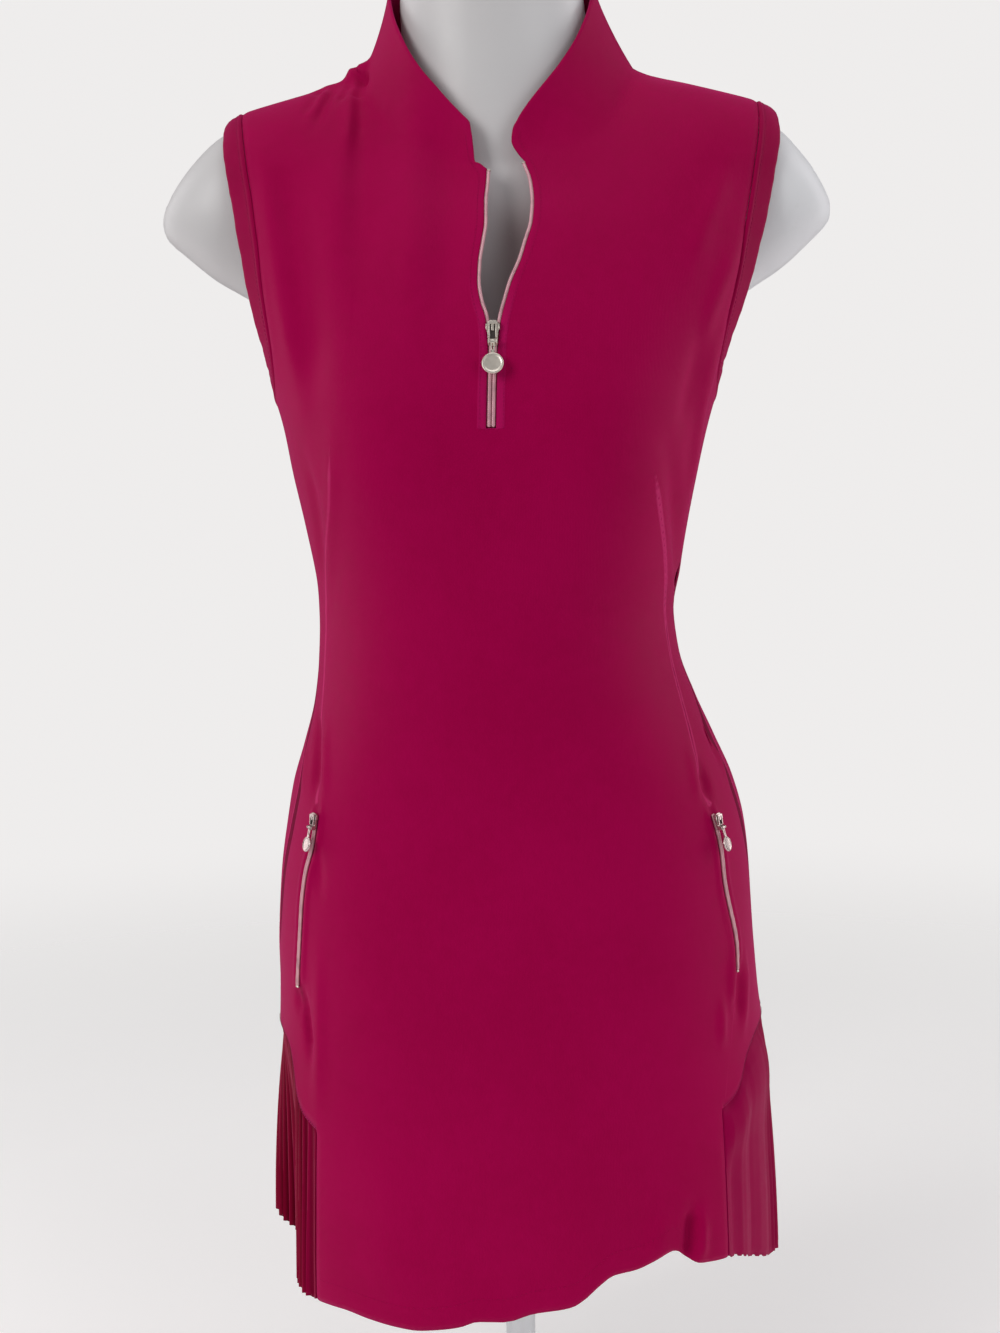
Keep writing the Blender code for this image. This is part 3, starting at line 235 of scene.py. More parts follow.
# the form inside: torso sections, and the stubs that end above the elbow
TORSO = (
    # z      half w  front    back
    (0.790, 0.1430, 0.1080, 0.0905), (0.815, 0.1450, 0.0980, 0.0930),
    (0.850, 0.1465, 0.0860, 0.0930), (0.880, 0.1470, 0.0770, 0.0910),
    (0.905, 0.1460, 0.0700, 0.0880), (0.930, 0.1420, 0.0640, 0.0820),
    (0.950, 0.1330, 0.0575, 0.0740), (0.968, 0.1180, 0.0480, 0.0640),
    (0.984, 0.0950, 0.0380, 0.0520),
)
NECK = (
    # z      half w  front    back
    (0.930, 0.0600, 0.0560, 0.0700), (0.955, 0.0620, 0.0555, 0.0640),
    (0.978, 0.0640, 0.0530, 0.0580), (1.000, 0.0655, 0.0500, 0.0530),
    (1.020, 0.0660, 0.0485, 0.0490), (1.045, 0.0655, 0.0480, 0.0450),
    (1.075, 0.0640, 0.0480, 0.0420), (1.105, 0.0615, 0.0485, 0.0410),
    (1.135, 0.0600, 0.0490, 0.0410),
)
STUB = (
    # x      mid z   half h  half d
    (0.020, 0.9480, 0.0680, 0.0330), (0.070, 0.9470, 0.0690, 0.0340),
    (0.094, 0.9430, 0.0715, 0.0350), (0.115, 0.9385, 0.0730, 0.0370),
    (0.135, 0.9340, 0.0720, 0.0390), (0.152, 0.9315, 0.0700, 0.0400),
    (0.172, 0.9330, 0.0625, 0.0395), (0.187, 0.9350, 0.0555, 0.0380),
    (0.199, 0.9345, 0.0475, 0.0350), (0.210, 0.9335, 0.0375, 0.0300),
    (0.2205, 0.9320, 0.0265, 0.0235), (0.229, 0.9290, 0.0160, 0.0160),
    (0.2345, 0.9270, 0.0075, 0.0080),
)
FORM_BOTTOM = 0.300
FORM_CLEAR = 0.0085     # inside the outer face of the dress
BASE_R, BASE_T = 0.150, 0.012
POLE_R = 0.011
SOCKET_R, SOCKET_H = 0.022, 0.035

# ----------------------------------------------------------- the sections


def curve(rows, column, t, key=0):
    """Smooth line through one column of a table, with no overshoot."""
    xs = [row[key] for row in rows]
    ys = [row[column] for row in rows]
    if t <= xs[0]:
        return ys[0]
    if t >= xs[-1]:
        return ys[-1]
    j = max(i for i in range(len(xs) - 1) if xs[i] <= t)

    def slope(m):
        if m == 0:
            return (ys[1] - ys[0]) / (xs[1] - xs[0])
        if m == len(xs) - 1:
            return (ys[-1] - ys[-2]) / (xs[-1] - xs[-2])
        h0, h1 = xs[m] - xs[m - 1], xs[m + 1] - xs[m]
        d0, d1 = (ys[m] - ys[m - 1]) / h0, (ys[m + 1] - ys[m]) / h1
        if d0 * d1 <= 0:
            return 0.0
        w0, w1 = 2 * h1 + h0, h1 + 2 * h0
        return (w0 + w1) / (w0 / d0 + w1 / d1)

    h = xs[j + 1] - xs[j]
    s = (t - xs[j]) / h
    m0, m1 = slope(j) * h, slope(j + 1) * h
    return ((2 * s ** 3 - 3 * s * s + 1) * ys[j] + (s ** 3 - 2 * s * s + s) * m0
            + (-2 * s ** 3 + 3 * s * s) * ys[j + 1] + (s ** 3 - s * s) * m1)

# ----------------------------------------------------------- lines on the cloth
# soft folds: height in mm (minus is a trough), half width in mm, then points (x, z) on the front
FRONT_FOLDS = {
    "loop_top": (7.2, 5.8, ((-0.0955, 1.0310), (-0.1012, 1.0278)), True),
    "loop_side": (1.8, 8.0, ((-0.1105, 1.0245), (-0.1210, 1.0200)), True),
    "loop_hollow": (-7.6, 4.2, ((-0.0955, 1.0245), (-0.0955, 1.0140)), True),
    "loop_band": (2.4, 3.4, ((-0.0990, 1.0285), (-0.0988, 1.0215), (-0.0978, 1.0120))),
    "bunch_in": (-2.6, 5.0, ((-0.0932, 1.0120), (-0.0915, 0.9990), (-0.0912, 0.9800))),
    "bunch_out": (2.4, 4.5, ((-0.1003, 1.0180), (-0.1004, 1.0120), (-0.1000, 0.9947), (-0.1005, 0.9650))),
    "pinch_c": (-2.4, 3.4, ((-0.1030, 1.0225), (-0.1055, 1.0130), (-0.1090, 1.0050))),
    "pinch": (-2.2, 4.0, ((-0.1120, 1.0200), (-0.1161, 1.0100), (-0.1195, 1.0000), (-0.1240, 0.9860))),
    "pinch_b": (-1.7, 4.0, ((-0.1230, 1.0190), (-0.1262, 1.0070), (-0.1310, 0.9930))),
    "pinch_lip": (1.5, 5.0, ((-0.1190, 1.0180), (-0.1232, 1.0040), (-0.1278, 0.9905))),
    "drape_a": (-2.9, 12.0, ((-0.0895, 1.0015), (-0.0905, 0.9660), (-0.0905, 0.9106), (-0.0890, 0.8639))),
    "drape_b": (1.0, 9.0, ((-0.1015, 0.9947), (-0.1040, 0.9595), (-0.1040, 0.9111))),
    "drape_c": (2.3, 13.0, ((-0.0567, 1.0259), (-0.0568, 0.9713), (-0.0544, 0.9023), (-0.0567, 0.8431))),
    "drape_d": (-2.0, 13.0, ((-0.0366, 1.0049), (-0.0313, 0.9567), (-0.0294, 0.8949), (-0.0320, 0.8360))),
    "arm_ridge_left": (2.7, 9.0, ((-0.1589, 0.9700), (-0.1479, 0.9070), (-0.1390, 0.8467), (-0.1322, 0.8005))),
    "arm_dip_left": (-4.4, 18.0, ((-0.1437, 0.9687), (-0.1350, 0.9061), (-0.1266, 0.8459), (-0.1221, 0.7870))),
    "waist_dip_left": (-1.6, 7.0, ((-0.1327, 0.7642), (-0.1264, 0.7474), (-0.1246, 0.7063), (-0.1264, 0.6706))),
    "waist_lip_left": (0.9, 7.0, ((-0.1103, 0.7801), (-0.1124, 0.7341), (-0.1192, 0.6927), (-0.1245, 0.6568))),
    "waist_dip_right": (-2.8, 9.0, ((0.1112, 0.7661), (0.1167, 0.7294), (0.1209, 0.6940), (0.1247, 0.6555))),
    "arm_fold_right": (2.4, 7.0, ((0.1494, 0.8418), (0.1356, 0.7990), (0.1297, 0.7625), (0.1270, 0.7285))),
    "arm_dip_right": (-1.6, 8.0, ((0.1391, 0.8478), (0.1266, 0.8053), (0.1204, 0.7759))),
    "streak_a": (1.5, 8.0, ((0.1564, 0.9520), (0.1402, 0.9168), (0.1271, 0.8806))),
    "streak_b": (1.7, 7.0, ((0.1634, 0.9010), (0.1504, 0.8748), (0.1398, 0.8497), (0.1336, 0.8281))),
    "hip_dip_left": (-2.8, 5.0, ((-0.1332, 0.5843), (-0.1322, 0.5533), (-0.1325, 0.5269))),
    "hip_lip_left": (1.2, 5.0, ((-0.1254, 0.5811), (-0.1252, 0.5282))),
    "hip_side_left": (0.9, 6.0, ((-0.1443, 0.5651), (-0.1419, 0.5247))),
    "hip_dip_right": (-2.6, 5.5, ((0.1344, 0.5466), (0.1393, 0.5211))),
    "hip_lip_right": (1.1, 5.0, ((0.1261, 0.5611), (0.1313, 0.5247))),
    "below_left_a": (-1.6, 3.5, ((-0.1508, 0.3917), (-0.1479, 0.3756))),
    "below_left_b": (-2.4, 4.0, ((-0.1455, 0.3957), (-0.1443, 0.3818), (-0.1415, 0.3649), (-0.1396, 0.3443))),
    "below_left_c": (1.3, 6.5, ((-0.1325, 0.4239), (-0.1337, 0.3600), (-0.1364, 0.3068))),
    "patch_left": (-1.1, 5.0, ((-0.1303, 0.4920), (-0.1301, 0.4612))),
    "below_right_a": (1.8, 4.0, ((0.1534, 0.4131), (0.1528, 0.3787))),
    "below_right_b": (1.6, 4.2, ((0.1461, 0.3843), (0.1456, 0.3535))),
    "below_right_c": (1.6, 4.5, ((0.1640, 0.4095), (0.1649, 0.3881), (0.1612, 0.3572))),
    "below_right_d": (-1.6, 4.0, ((0.1590, 0.4050), (0.1592, 0.3850), (0.1580, 0.3660))),
    "hip_crease_right": (-1.5, 4.5, ((0.1365, 0.5739), (0.1425, 0.5600), (0.1484, 0.5452))),
    "hip_streak_right": (1.6, 4.5, ((0.1414, 0.5700), (0.1470, 0.5530), (0.1533, 0.5347))),
    "hem_fold": (-3.9, 5.2, ((0.1238, 0.2460), (0.1220, 0.2317), (0.1206, 0.2100))),
    "hem_lip_a": (2.2, 4.4, ((0.1302, 0.2396), (0.1290, 0.2080))),
    "hem_lip_b": (1.6, 9.0, ((0.1017, 0.2452), (0.0985, 0.2146))),
    "hem_soft_a": (1.0, 22.0, ((-0.085, 0.300), (-0.082, 0.170))),
    "hem_soft_b": (-1.0, 20.0, ((-0.020, 0.280), (-0.014, 0.175))),
    "hem_soft_c": (1.0, 20.0, ((0.045, 0.290), (0.052, 0.190))),
}
# the same on the back, which the photo doesn't show
BACK_FOLDS = {
    "loop_top": (7.2, 5.8, ((-0.0955, 1.0310), (-0.1012, 1.0278)), True),
    "loop_side": (1.8, 8.0, ((-0.1105, 1.0245), (-0.1210, 1.0200)), True),
    "loop_back": (1.8, 6.0, ((-0.0990, 1.0250), (-0.1000, 1.0100), (-0.1010, 0.9900))),
    "nape": (-1.2, 12.0, ((-0.050, 1.060), (-0.058, 1.020), (-0.066, 0.985))),
    "blade_left": (1.3, 12.0, ((-0.118, 0.985), (-0.098, 0.930), (-0.086, 0.870), (-0.082, 0.800))),
    "blade_dip_left": (-1.3, 13.0, ((-0.142, 0.950), (-0.122, 0.880), (-0.108, 0.810))),
    "blade_right": (1.2, 13.0, ((0.122, 0.980), (0.104, 0.925), (0.090, 0.860), (0.084, 0.790))),
    "blade_dip_right": (-1.2, 12.0, ((0.145, 0.940), (0.126, 0.870), (0.112, 0.805))),
    "small_left": (-1.7, 8.0, ((-0.070, 0.720), (-0.064, 0.680), (-0.070, 0.640))),
    "small_left_lip": (1.3, 7.0, ((-0.050, 0.715), (-0.045, 0.676), (-0.052, 0.634))),
    "small_right": (-1.5, 8.0, ((0.062, 0.705), (0.056, 0.664), (0.060, 0.620))),
    "small_cross": (1.1, 9.0, ((-0.030, 0.668), (0.005, 0.662), (0.038, 0.668))),
    "waist_left": (-1.5, 7.0, ((-0.112, 0.700), (-0.104, 0.655), (-0.110, 0.610))),
    "waist_right": (1.3, 8.0, ((0.106, 0.690), (0.100, 0.650), (0.108, 0.600))),
    "seat_left": (1.0, 14.0, ((-0.120, 0.560), (-0.110, 0.480), (-0.112, 0.400))),
    "seat_right": (1.0, 15.0, ((0.118, 0.550), (0.112, 0.470), (0.114, 0.395))),
    "seat_mid": (-1.0, 15.0, ((0.004, 0.470), (0.002, 0.420), (0.004, 0.372))),
}
# sewn lines on the front, from the bust to the pockets and on to the pleats
PANEL_SEAMS = (
    ((-0.1102, 0.7834), (-0.1124, 0.7341), (-0.1210, 0.6926), (-0.1277, 0.6561), (-0.1338, 0.5920),
     (-0.1314, 0.5535), (-0.1317, 0.5250)),
    ((0.0995, 0.7611), (0.1037, 0.7368), (0.1076, 0.7096), (0.1126, 0.6741), (0.1175, 0.6435), (0.1270, 0.5766),
     (0.1325, 0.5375), (0.1395, 0.5205)),
    ((-0.1480, 0.3930), (-0.1461, 0.3777), (-0.1419, 0.3506), (-0.1393, 0.3234), (-0.1382, 0.2990)),
    ((0.1564, 0.4000), (0.1560, 0.3810), (0.1524, 0.3548), (0.1490, 0.3283), (0.1472, 0.3130)),
)
# painted shade along creases on the front: points (x, z), half width, strength
CREASE_SHADE_LINES = (
    (((-0.1492, 0.4060), (-0.1470, 0.3900), (-0.1450, 0.3790), (-0.1424, 0.3640), (-0.1400, 0.3430)), 0.0022, 0.75),
    (((-0.1515, 0.3960), (-0.1488, 0.3780)), 0.0018, 0.45),
    (((-0.1338, 0.5880), (-0.1320, 0.5560), (-0.1322, 0.5290)), 0.0024, 0.55),
    (((0.1330, 0.5530), (0.1362, 0.5360), (0.1398, 0.5230)), 0.0030, 0.60),
    (((0.1232, 0.2450), (0.1218, 0.2300), (0.1206, 0.2080)), 0.0042, 0.50),
)
THICK = 0.0012          # the visible edge of the cloth
RELIEF = 1.45           # how far the folds stand out

# ----------------------------------------------------------- the sections, on arrays


def fast(rows, column, key=0, steps=2400):
    lo, hi = rows[0][key], rows[-1][key]
    xs = np.linspace(lo, hi, steps)
    ys = np.array([curve(rows, column, float(x), key) for x in xs])
    return lambda v: np.interp(v, xs, ys)


body_cx, body_a, body_front, body_back, body_n = (fast(BODY, c) for c in (CX, A, FRONT, BACK, N))
shoulder_z, shoulder_round = fast(SHOULDER, 1), fast(SHOULDER, 2)
armhole_th = {-1: fast(ARMHOLE, 1), 1: fast(ARMHOLE, 2)}
side_th = {-1: fast(SIDE, 1), 1: fast(SIDE, 2)}
slit_at = {-1: fast(SLIT, 1), 1: fast(SLIT, 2)}
seam_at = {-1: fast(FLOUNCE_SEAM, 1), 1: fast(FLOUNCE_SEAM, 2)}
hem_at = fast(HEM, 1)
collar_x, collar_y, collar_z = (fast(COLLAR_TOP, c) for c in (1, 2, 3))
end_x = {-1: fast(COLLAR_END, 1), 1: fast(COLLAR_END, 3)}
end_z = {-1: fast(COLLAR_END, 2), 1: fast(COLLAR_END, 4)}


def ease(t):
    return t * t * (3 - 2 * t)


def place(th, z):
    """Points on the outside of the dress, th degrees round from the centre front."""
    th, z = np.broadcast_arrays(np.asarray(th, float), np.asarray(z, float))
    a, n, cx = body_a(z), body_n(z), body_cx(z)
    s, c = np.sin(np.radians(th)), np.cos(np.radians(th))
    x = cx + a * np.sign(s) * np.abs(s) ** (2 / n)
    q = np.clip((shoulder_z(np.abs(x)) - z) / shoulder_round(np.abs(x)), 0, 1)
    fade = np.where(z < 0.9, 1.0, np.sqrt(1 - (1 - q) ** 2))
    m = np.abs(c) ** (2 / n) * fade
    bump = BUST * m * np.exp(-((np.abs(x - cx) - 0.082) / 0.045) ** 2 - ((z - 0.775) / 0.06) ** 2)
    y = np.where(c >= 0, SEAM_Y - (body_front(z) + SEAM_Y) * m - bump, SEAM_Y + (body_back(z) - SEAM_Y) * m)
    return np.stack((x, y, z), -1)


def angle_of(x, z):
    r = np.minimum(1.0, np.abs(x - body_cx(z)) / body_a(z))
    return np.degrees(np.arcsin(r ** (body_n(z) / 2)))


def on_front(x, z):
    x, z = np.asarray(x, float), np.asarray(z, float)
    return place(np.sign(x - body_cx(z)) * angle_of(x, z), z)


def on_front_seam(x, z):
    x, z = np.asarray(x, float), np.asarray(z, float)
    th = angle_of(x, z)
    th = np.where(th > 56, 56 + 17 * (1 - np.exp(-(th - 56) / 17)), th)
    return place(np.sign(x - body_cx(z)) * th, z)


def on_back(x, z):
    x, z = np.asarray(x, float), np.asarray(z, float)
    return place(np.sign(x - body_cx(z)) * (180 - angle_of(x, z)), z)


def slit_angle(z, side):
    x = slit_at[side](np.maximum(z, SLOT_Z))
    return angle_of(x, z) * np.sign((x - body_cx(z)) * side)


class Half:
    """One side of a panel, on columns k measured in the coarse ones."""

    def __init__(self, front, side, k, rows):
        self.front, self.side, self.k = front, side, k
        self.count = K_FRONT if front else K_BACK
        self.neck = K_NECK if front else K_BACK_NECK
        self.tops()
        out = []
        for kind, value in rows:
            out.append(getattr(self, kind)(value))
        self.points = np.array(out)

    def inner(self, z):
        return slit_angle(z, self.side) if self.front else np.zeros_like(z)

    def outer(self, z):
        th = side_th[self.side](z)
        cut = np.degrees(GAP / 2 / body_a(z))
        return th - cut if self.front else 180 - th - cut

    def spread(self, z):
        z = np.broadcast_to(np.asarray(z, float), self.k.shape)
        lo, hi, k = self.inner(z), self.outer(z), self.k
        if not self.front:
            return lo + (hi - lo) * k / self.count
        return np.where(k <= K_APRON, lo + (APRON_TH - lo) * k / K_APRON,
                        APRON_TH + (hi - APRON_TH) * (k - K_APRON) / (self.count - K_APRON))

    def surface(self, th, z):
        return place(self.side * (th if self.front else 180.0 - th), z)

    def tau(self, k):
        return 12 + 78 * k / self.neck if self.front else 180 - 90 * k / self.neck

    def tops(self):
        side, k = self.side, self.k
        tip = abs(float(place(armhole_th[side](1.003), 1.003)[0]))
        t = np.radians(self.tau(np.minimum(k, self.neck)))
        lift = NECK_Z - 0.073 if self.front else NECK_Z + 0.012
        c = np.cos(t)
        x = NECK_X * np.sin(t)
        y = SEAM_Y - (0.0745 if self.front else 0.054) * np.sign(c) * np.abs(c) ** 0.8
        z = lift + (NECK_Z - lift) * (1 - np.abs(c))
        if self.front:
            sx, sz = float(slit_at[side](SLIT_TOP[side])), SLIT_TOP[side]
            sy = float(place(side * slit_angle(np.array(sz), side), sz)[1])
            near = np.where(k < 1, (1 - k) ** 2, 0.0)
            x = x + (side * sx - x[0]) * near
            y = y + (sy - y[0]) * near
            z = z + (sz - z[0]) * near
        far = k > self.neck
        fx = NECK_X + (tip - NECK_X) * (k - self.neck) / (self.count - self.neck)
        x, y, z = np.where(far, fx, x), np.where(far, SEAM_Y, y), np.where(far, shoulder_z(fx), z)
        self.top = np.stack((side * x, y, z), -1)
        zu = np.full(k.shape, UNDERARM_Z)
        hi, lo = self.outer(zu), self.inner(zu)
        self.low = (self.spread(UNDERARM_Z) - lo) / (hi - lo)
        arm = float(armhole_th[side](z[-1]))
        if not self.front:
            arm = float(armhole_th[side](z[-1]))
        lo = self.inner(np.minimum(z, SLIT_TOP[side]))
        th = angle_of(side * x, z) * np.sign((side * x - body_cx(z)) * side)
        if not self.front:
            th = np.where(k == 0, 0.0, th)
        self.high = (th - lo) / (arm - lo)
        self.high[0], self.high[-1] = 0.0, 1.0
        self.slip = y - self.surface(th, z)[:, 1]

    def apron(self, v):
        corner = float(seam_at[self.side](APRON_TH))
        x = self.surface(self.spread(0.2), 0.2)[:, 0]
        hem = hem_at(x)
        z = hem + (corner - hem) * v
        p = self.surface(self.spread(z), z)
        p[self.k > K_APRON + 1e-6] = np.nan
        return p

    def low_row(self, v):
        corner = float(seam_at[self.side](APRON_TH))
        th = self.spread(0.355)
        foot = seam_at[self.side](th if self.front else 180 - th)
        if self.front:
            foot = np.where(self.k <= K_APRON + 1e-6, corner, foot)
        z = foot + (FULL_Z - foot) * v
        return self.surface(self.spread(z), z)

    def level(self, z):
        return self.surface(self.spread(z), np.full(self.k.shape, z))

    def yoke(self, w):
        k, side = self.k, self.side
        b = (k / self.count) ** 0.7
        z = UNDERARM_Z + (self.top[:, 2] - UNDERARM_Z) * ((1 - b) * w + b * ease(w))
        arm_z = UNDERARM_Z + (self.top[-1, 2] - UNDERARM_Z) * ease(w)
        arm = min(float(self.outer(np.array(UNDERARM_Z))), float(armhole_th[side](arm_z)))
        lo = self.inner(np.minimum(z, SLIT_TOP[side]))
        u = (1 - ease(w)) * self.low + ease(w) * self.high
        p = self.surface(lo + (arm - lo) * u, z)
        p[:, 1] += self.slip * w ** 3
        if w == 1.0:
            far = k >= self.neck - 1e-6
            p[far, 1] = SEAM_Y + (-GAP / 2 if self.front else GAP / 2)
        self.last = p
        return p

    def collar(self, v):
        k, side = self.k, self.side
        base = self.last
        t = self.tau(k)
        top = np.stack((side * collar_x(t) - 0.0035, collar_y(t), collar_z(t)), -1)
        rim = np.abs(k - self.neck) < 1e-6
        top[rim, 1] = base[rim, 1]
        r = np.radians(t)
        hollow = np.stack((side * np.sin(r), -np.cos(r), 0 * r), -1) * 0.0088 * v * (1 - v)
        hollow[rim, 1] = 0
        p = base + (top - base) * v - hollow
        if self.front:
            edge = np.array((float(end_x[side](v)), base[0, 1] + (-0.0640 - base[0, 1]) * v, float(end_z[side](v))))
            near = np.where(k < 1, (1 - k) ** 2, 0.0)[:, None]
            p = p + (edge - p[0]) * near
        p[k > self.neck + 1e-6] = np.nan
        return p


def rows_of(front):
    rows = [("apron", v) for v in np.linspace(0, 1, 31)[:-1]] if front else []
    rows += [("low_row", v) for v in np.linspace(0, 1, 13)[:-1]]
    levels = sorted(set(np.round(np.linspace(FULL_Z, UNDERARM_Z, 88), 5)) | {SLOT_Z})
    rows += [("level", float(z)) for z in levels]
    rows += [("yoke", float(w)) for w in np.concatenate((np.linspace(0, 0.82, 49)[1:], np.linspace(0.82, 1, 27)[1:]))]
    rows += [("collar", float(v)) for v in np.linspace(0, 1, 25)[1:]]
    names = [kind for kind, _ in rows]
    info = {"rows": rows, "under": names.index("yoke") - 1, "top": names.index("collar") - 1,
            "low": names.index("low_row")}
    info["slot"] = next(i for i, (kind, v) in enumerate(rows) if kind == "level" and abs(v - SLOT_Z) < 1e-9)
    return info


def columns_of(front):
    if front:
        k = np.concatenate((np.linspace(0, 3.8, 29), np.linspace(3.8, 6, 24)[1:], np.linspace(6, 7, 11)[1:],
                            np.linspace(7, 11, 30)[1:]))
        extra = [0.02, 0.05, 5.97, 10.94, 10.98]
    else:
        k = np.concatenate((np.linspace(0, 3.2, 31), np.linspace(3.2, 5.6, 27)[1:], np.linspace(5.6, 8, 22)[1:]))
        extra = [7.95, 7.985]
    return np.array(sorted(set(np.round(k, 6)) | set(extra)))


def quads_of(grid, missing=None):
    """Faces of a grid whose four corners all exist."""
    rows, cols = grid.shape[:2]
    there = ~np.isnan(grid[..., 0])
    ok = there[:-1, :-1] & there[1:, :-1] & there[1:, 1:] & there[:-1, 1:]
    if missing is not None:
        ok &= ~missing
    r, c = np.nonzero(ok)
    base = r * cols + c
    return np.stack((base, base + 1, base + cols + 1, base + cols), -1)


def vertex_normals(points, quads):
    p = points[quads]
    area = np.cross(p[:, 2] - p[:, 0], p[:, 3] - p[:, 1])
    total = np.zeros_like(points)
    for c in range(4):
        np.add.at(total, quads[:, c], area)
    size = np.linalg.norm(total, axis=1, keepdims=True)
    return total / np.maximum(size, 1e-12)


def distance_to(points, line):
    """Distance to a line of points, and how far along it, 0 to 1."""
    best = np.full(len(points), 1e9)
    along = np.zeros(len(points))
    length = np.concatenate(([0], np.cumsum(np.linalg.norm(np.diff(line, axis=0), axis=1))))
    for i in range(len(line) - 1):
        a, d = line[i], line[i + 1] - line[i]
        t = np.clip(((points - a) @ d) / max(d @ d, 1e-12), 0, 1)
        gap = np.linalg.norm(points - a - t[:, None] * d, axis=1)
        better = gap < best
        best = np.where(better, gap, best)
        along = np.where(better, (length[i] + t * (length[i + 1] - length[i])) / length[-1], along)
    return best, along


def densify(line, step=0.004):
    """A smooth line through the points, at an even step."""
    line = np.asarray(line, float)
    d = np.concatenate(([0], np.cumsum(np.linalg.norm(np.diff(line, axis=0), axis=1))))
    n = max(4, int(d[-1] / step))
    t = np.linspace(0, d[-1], n + 1)
    rough = np.stack([np.interp(t, d, line[:, i]) for i in range(line.shape[1])], -1)
    for _ in range(6):
        rough[1:-1] = (rough[:-2] + 2 * rough[1:-1] + rough[2:]) / 4
    return rough


def fold_height(points, folds, surface):
    """Sum of the soft folds, in metres, each fading out at its ends."""
    total = np.zeros(len(points))
    for height, width, line, *solid in folds.values():
        flat = densify(line, 0.006)
        path = surface(flat[:, 0], flat[:, 1])
        low, high = path.min(0) - width * 0.003, path.max(0) + width * 0.003
        near = np.nonzero(((points > low) & (points < high)).all(1))[0]
        if not len(near):
            continue
        gap, along = distance_to(points[near], path)
        fade = np.clip(np.minimum(along, 1 - along) / 0.3, 0, 1)
        fade = 1.0 if solid else 0.25 + 0.75 * ease(fade)
        total[near] += height * 0.001 * RELIEF * fade * np.exp(-(gap / (width * 0.001)) ** 2)
    return total


def waviness(points, scale, seed):
    """Broad unevenness of hanging cloth, -1 to 1, the same on every run."""
    rng = np.random.default_rng(seed)
    total = np.zeros(len(points))
    for _ in range(9):
        way = rng.normal(size=3)
        way /= np.linalg.norm(way)
        total += np.sin(points @ way * (2 * math.pi / (scale * rng.uniform(0.6, 1.6))) + rng.uniform(0, 6.28))
    return total / 9


# ----------------------------------------------------------- pieces


def new_object(name, points, faces, mat, smooth=True):
    mesh = bpy.data.meshes.new(name)
    mesh.from_pydata([tuple(p) for p in points], [], [tuple(int(i) for i in f) for f in faces])
    mesh.validate()
    mesh.materials.append(mat)
    if smooth:
        mesh.shade_smooth()
    obj = bpy.data.objects.new(name, mesh)
    bpy.context.scene.collection.objects.link(obj)
    return obj


def add_float(obj, name, values):
    attribute = obj.data.attributes.new(name, "FLOAT", "POINT")
    attribute.data.foreach_set("value", np.asarray(values, np.float32))


def add_uv(obj, uv):
    layer = obj.data.uv_layers.new(name="cloth")
    loops = np.zeros(len(obj.data.loops), np.int32)
    obj.data.loops.foreach_get("vertex_index", loops)
    layer.data.foreach_set("uv", np.asarray(uv, np.float32)[loops].ravel())


def solidify(obj, thickness, offset=-1.0):
    wall = obj.modifiers.new("wall", "SOLIDIFY")
    wall.thickness = thickness
    wall.offset = offset
    wall.use_rim = True
    return wall


def compact(points, quads, *extra):
    used = np.unique(quads)
    back = np.full(len(points), -1)
    back[used] = np.arange(len(used))
    return (points[used], back[quads]) + tuple(e[used] for e in extra)


def relax(grid, quads, strength, rounds, pinned):
    """Eases the grid, each point towards its neighbours' mean."""
    shape = grid.shape
    flat = grid.reshape(-1, 3)
    pairs = np.concatenate((quads[:, [0, 1]], quads[:, [1, 2]], quads[:, [2, 3]], quads[:, [3, 0]]))
    pairs = np.unique(np.sort(pairs, axis=1), axis=0)
    degree = np.zeros(len(flat))
    np.add.at(degree, pairs[:, 0], 1)
    np.add.at(degree, pairs[:, 1], 1)
    force = np.where(pinned, 0.0, strength)
    live = np.nonzero((force > 1e-4) & (degree > 0))[0]
    keep = np.isin(pairs[:, 0], live) | np.isin(pairs[:, 1], live)
    pairs = pairs[keep]
    for _ in range(rounds):
        total = np.zeros_like(flat)
        np.add.at(total, pairs[:, 0], flat[pairs[:, 1]])
        np.add.at(total, pairs[:, 1], flat[pairs[:, 0]])
        mean = total[live] / degree[live, None]
        flat[live] += (mean - flat[live]) * force[live, None]
    return flat.reshape(shape)


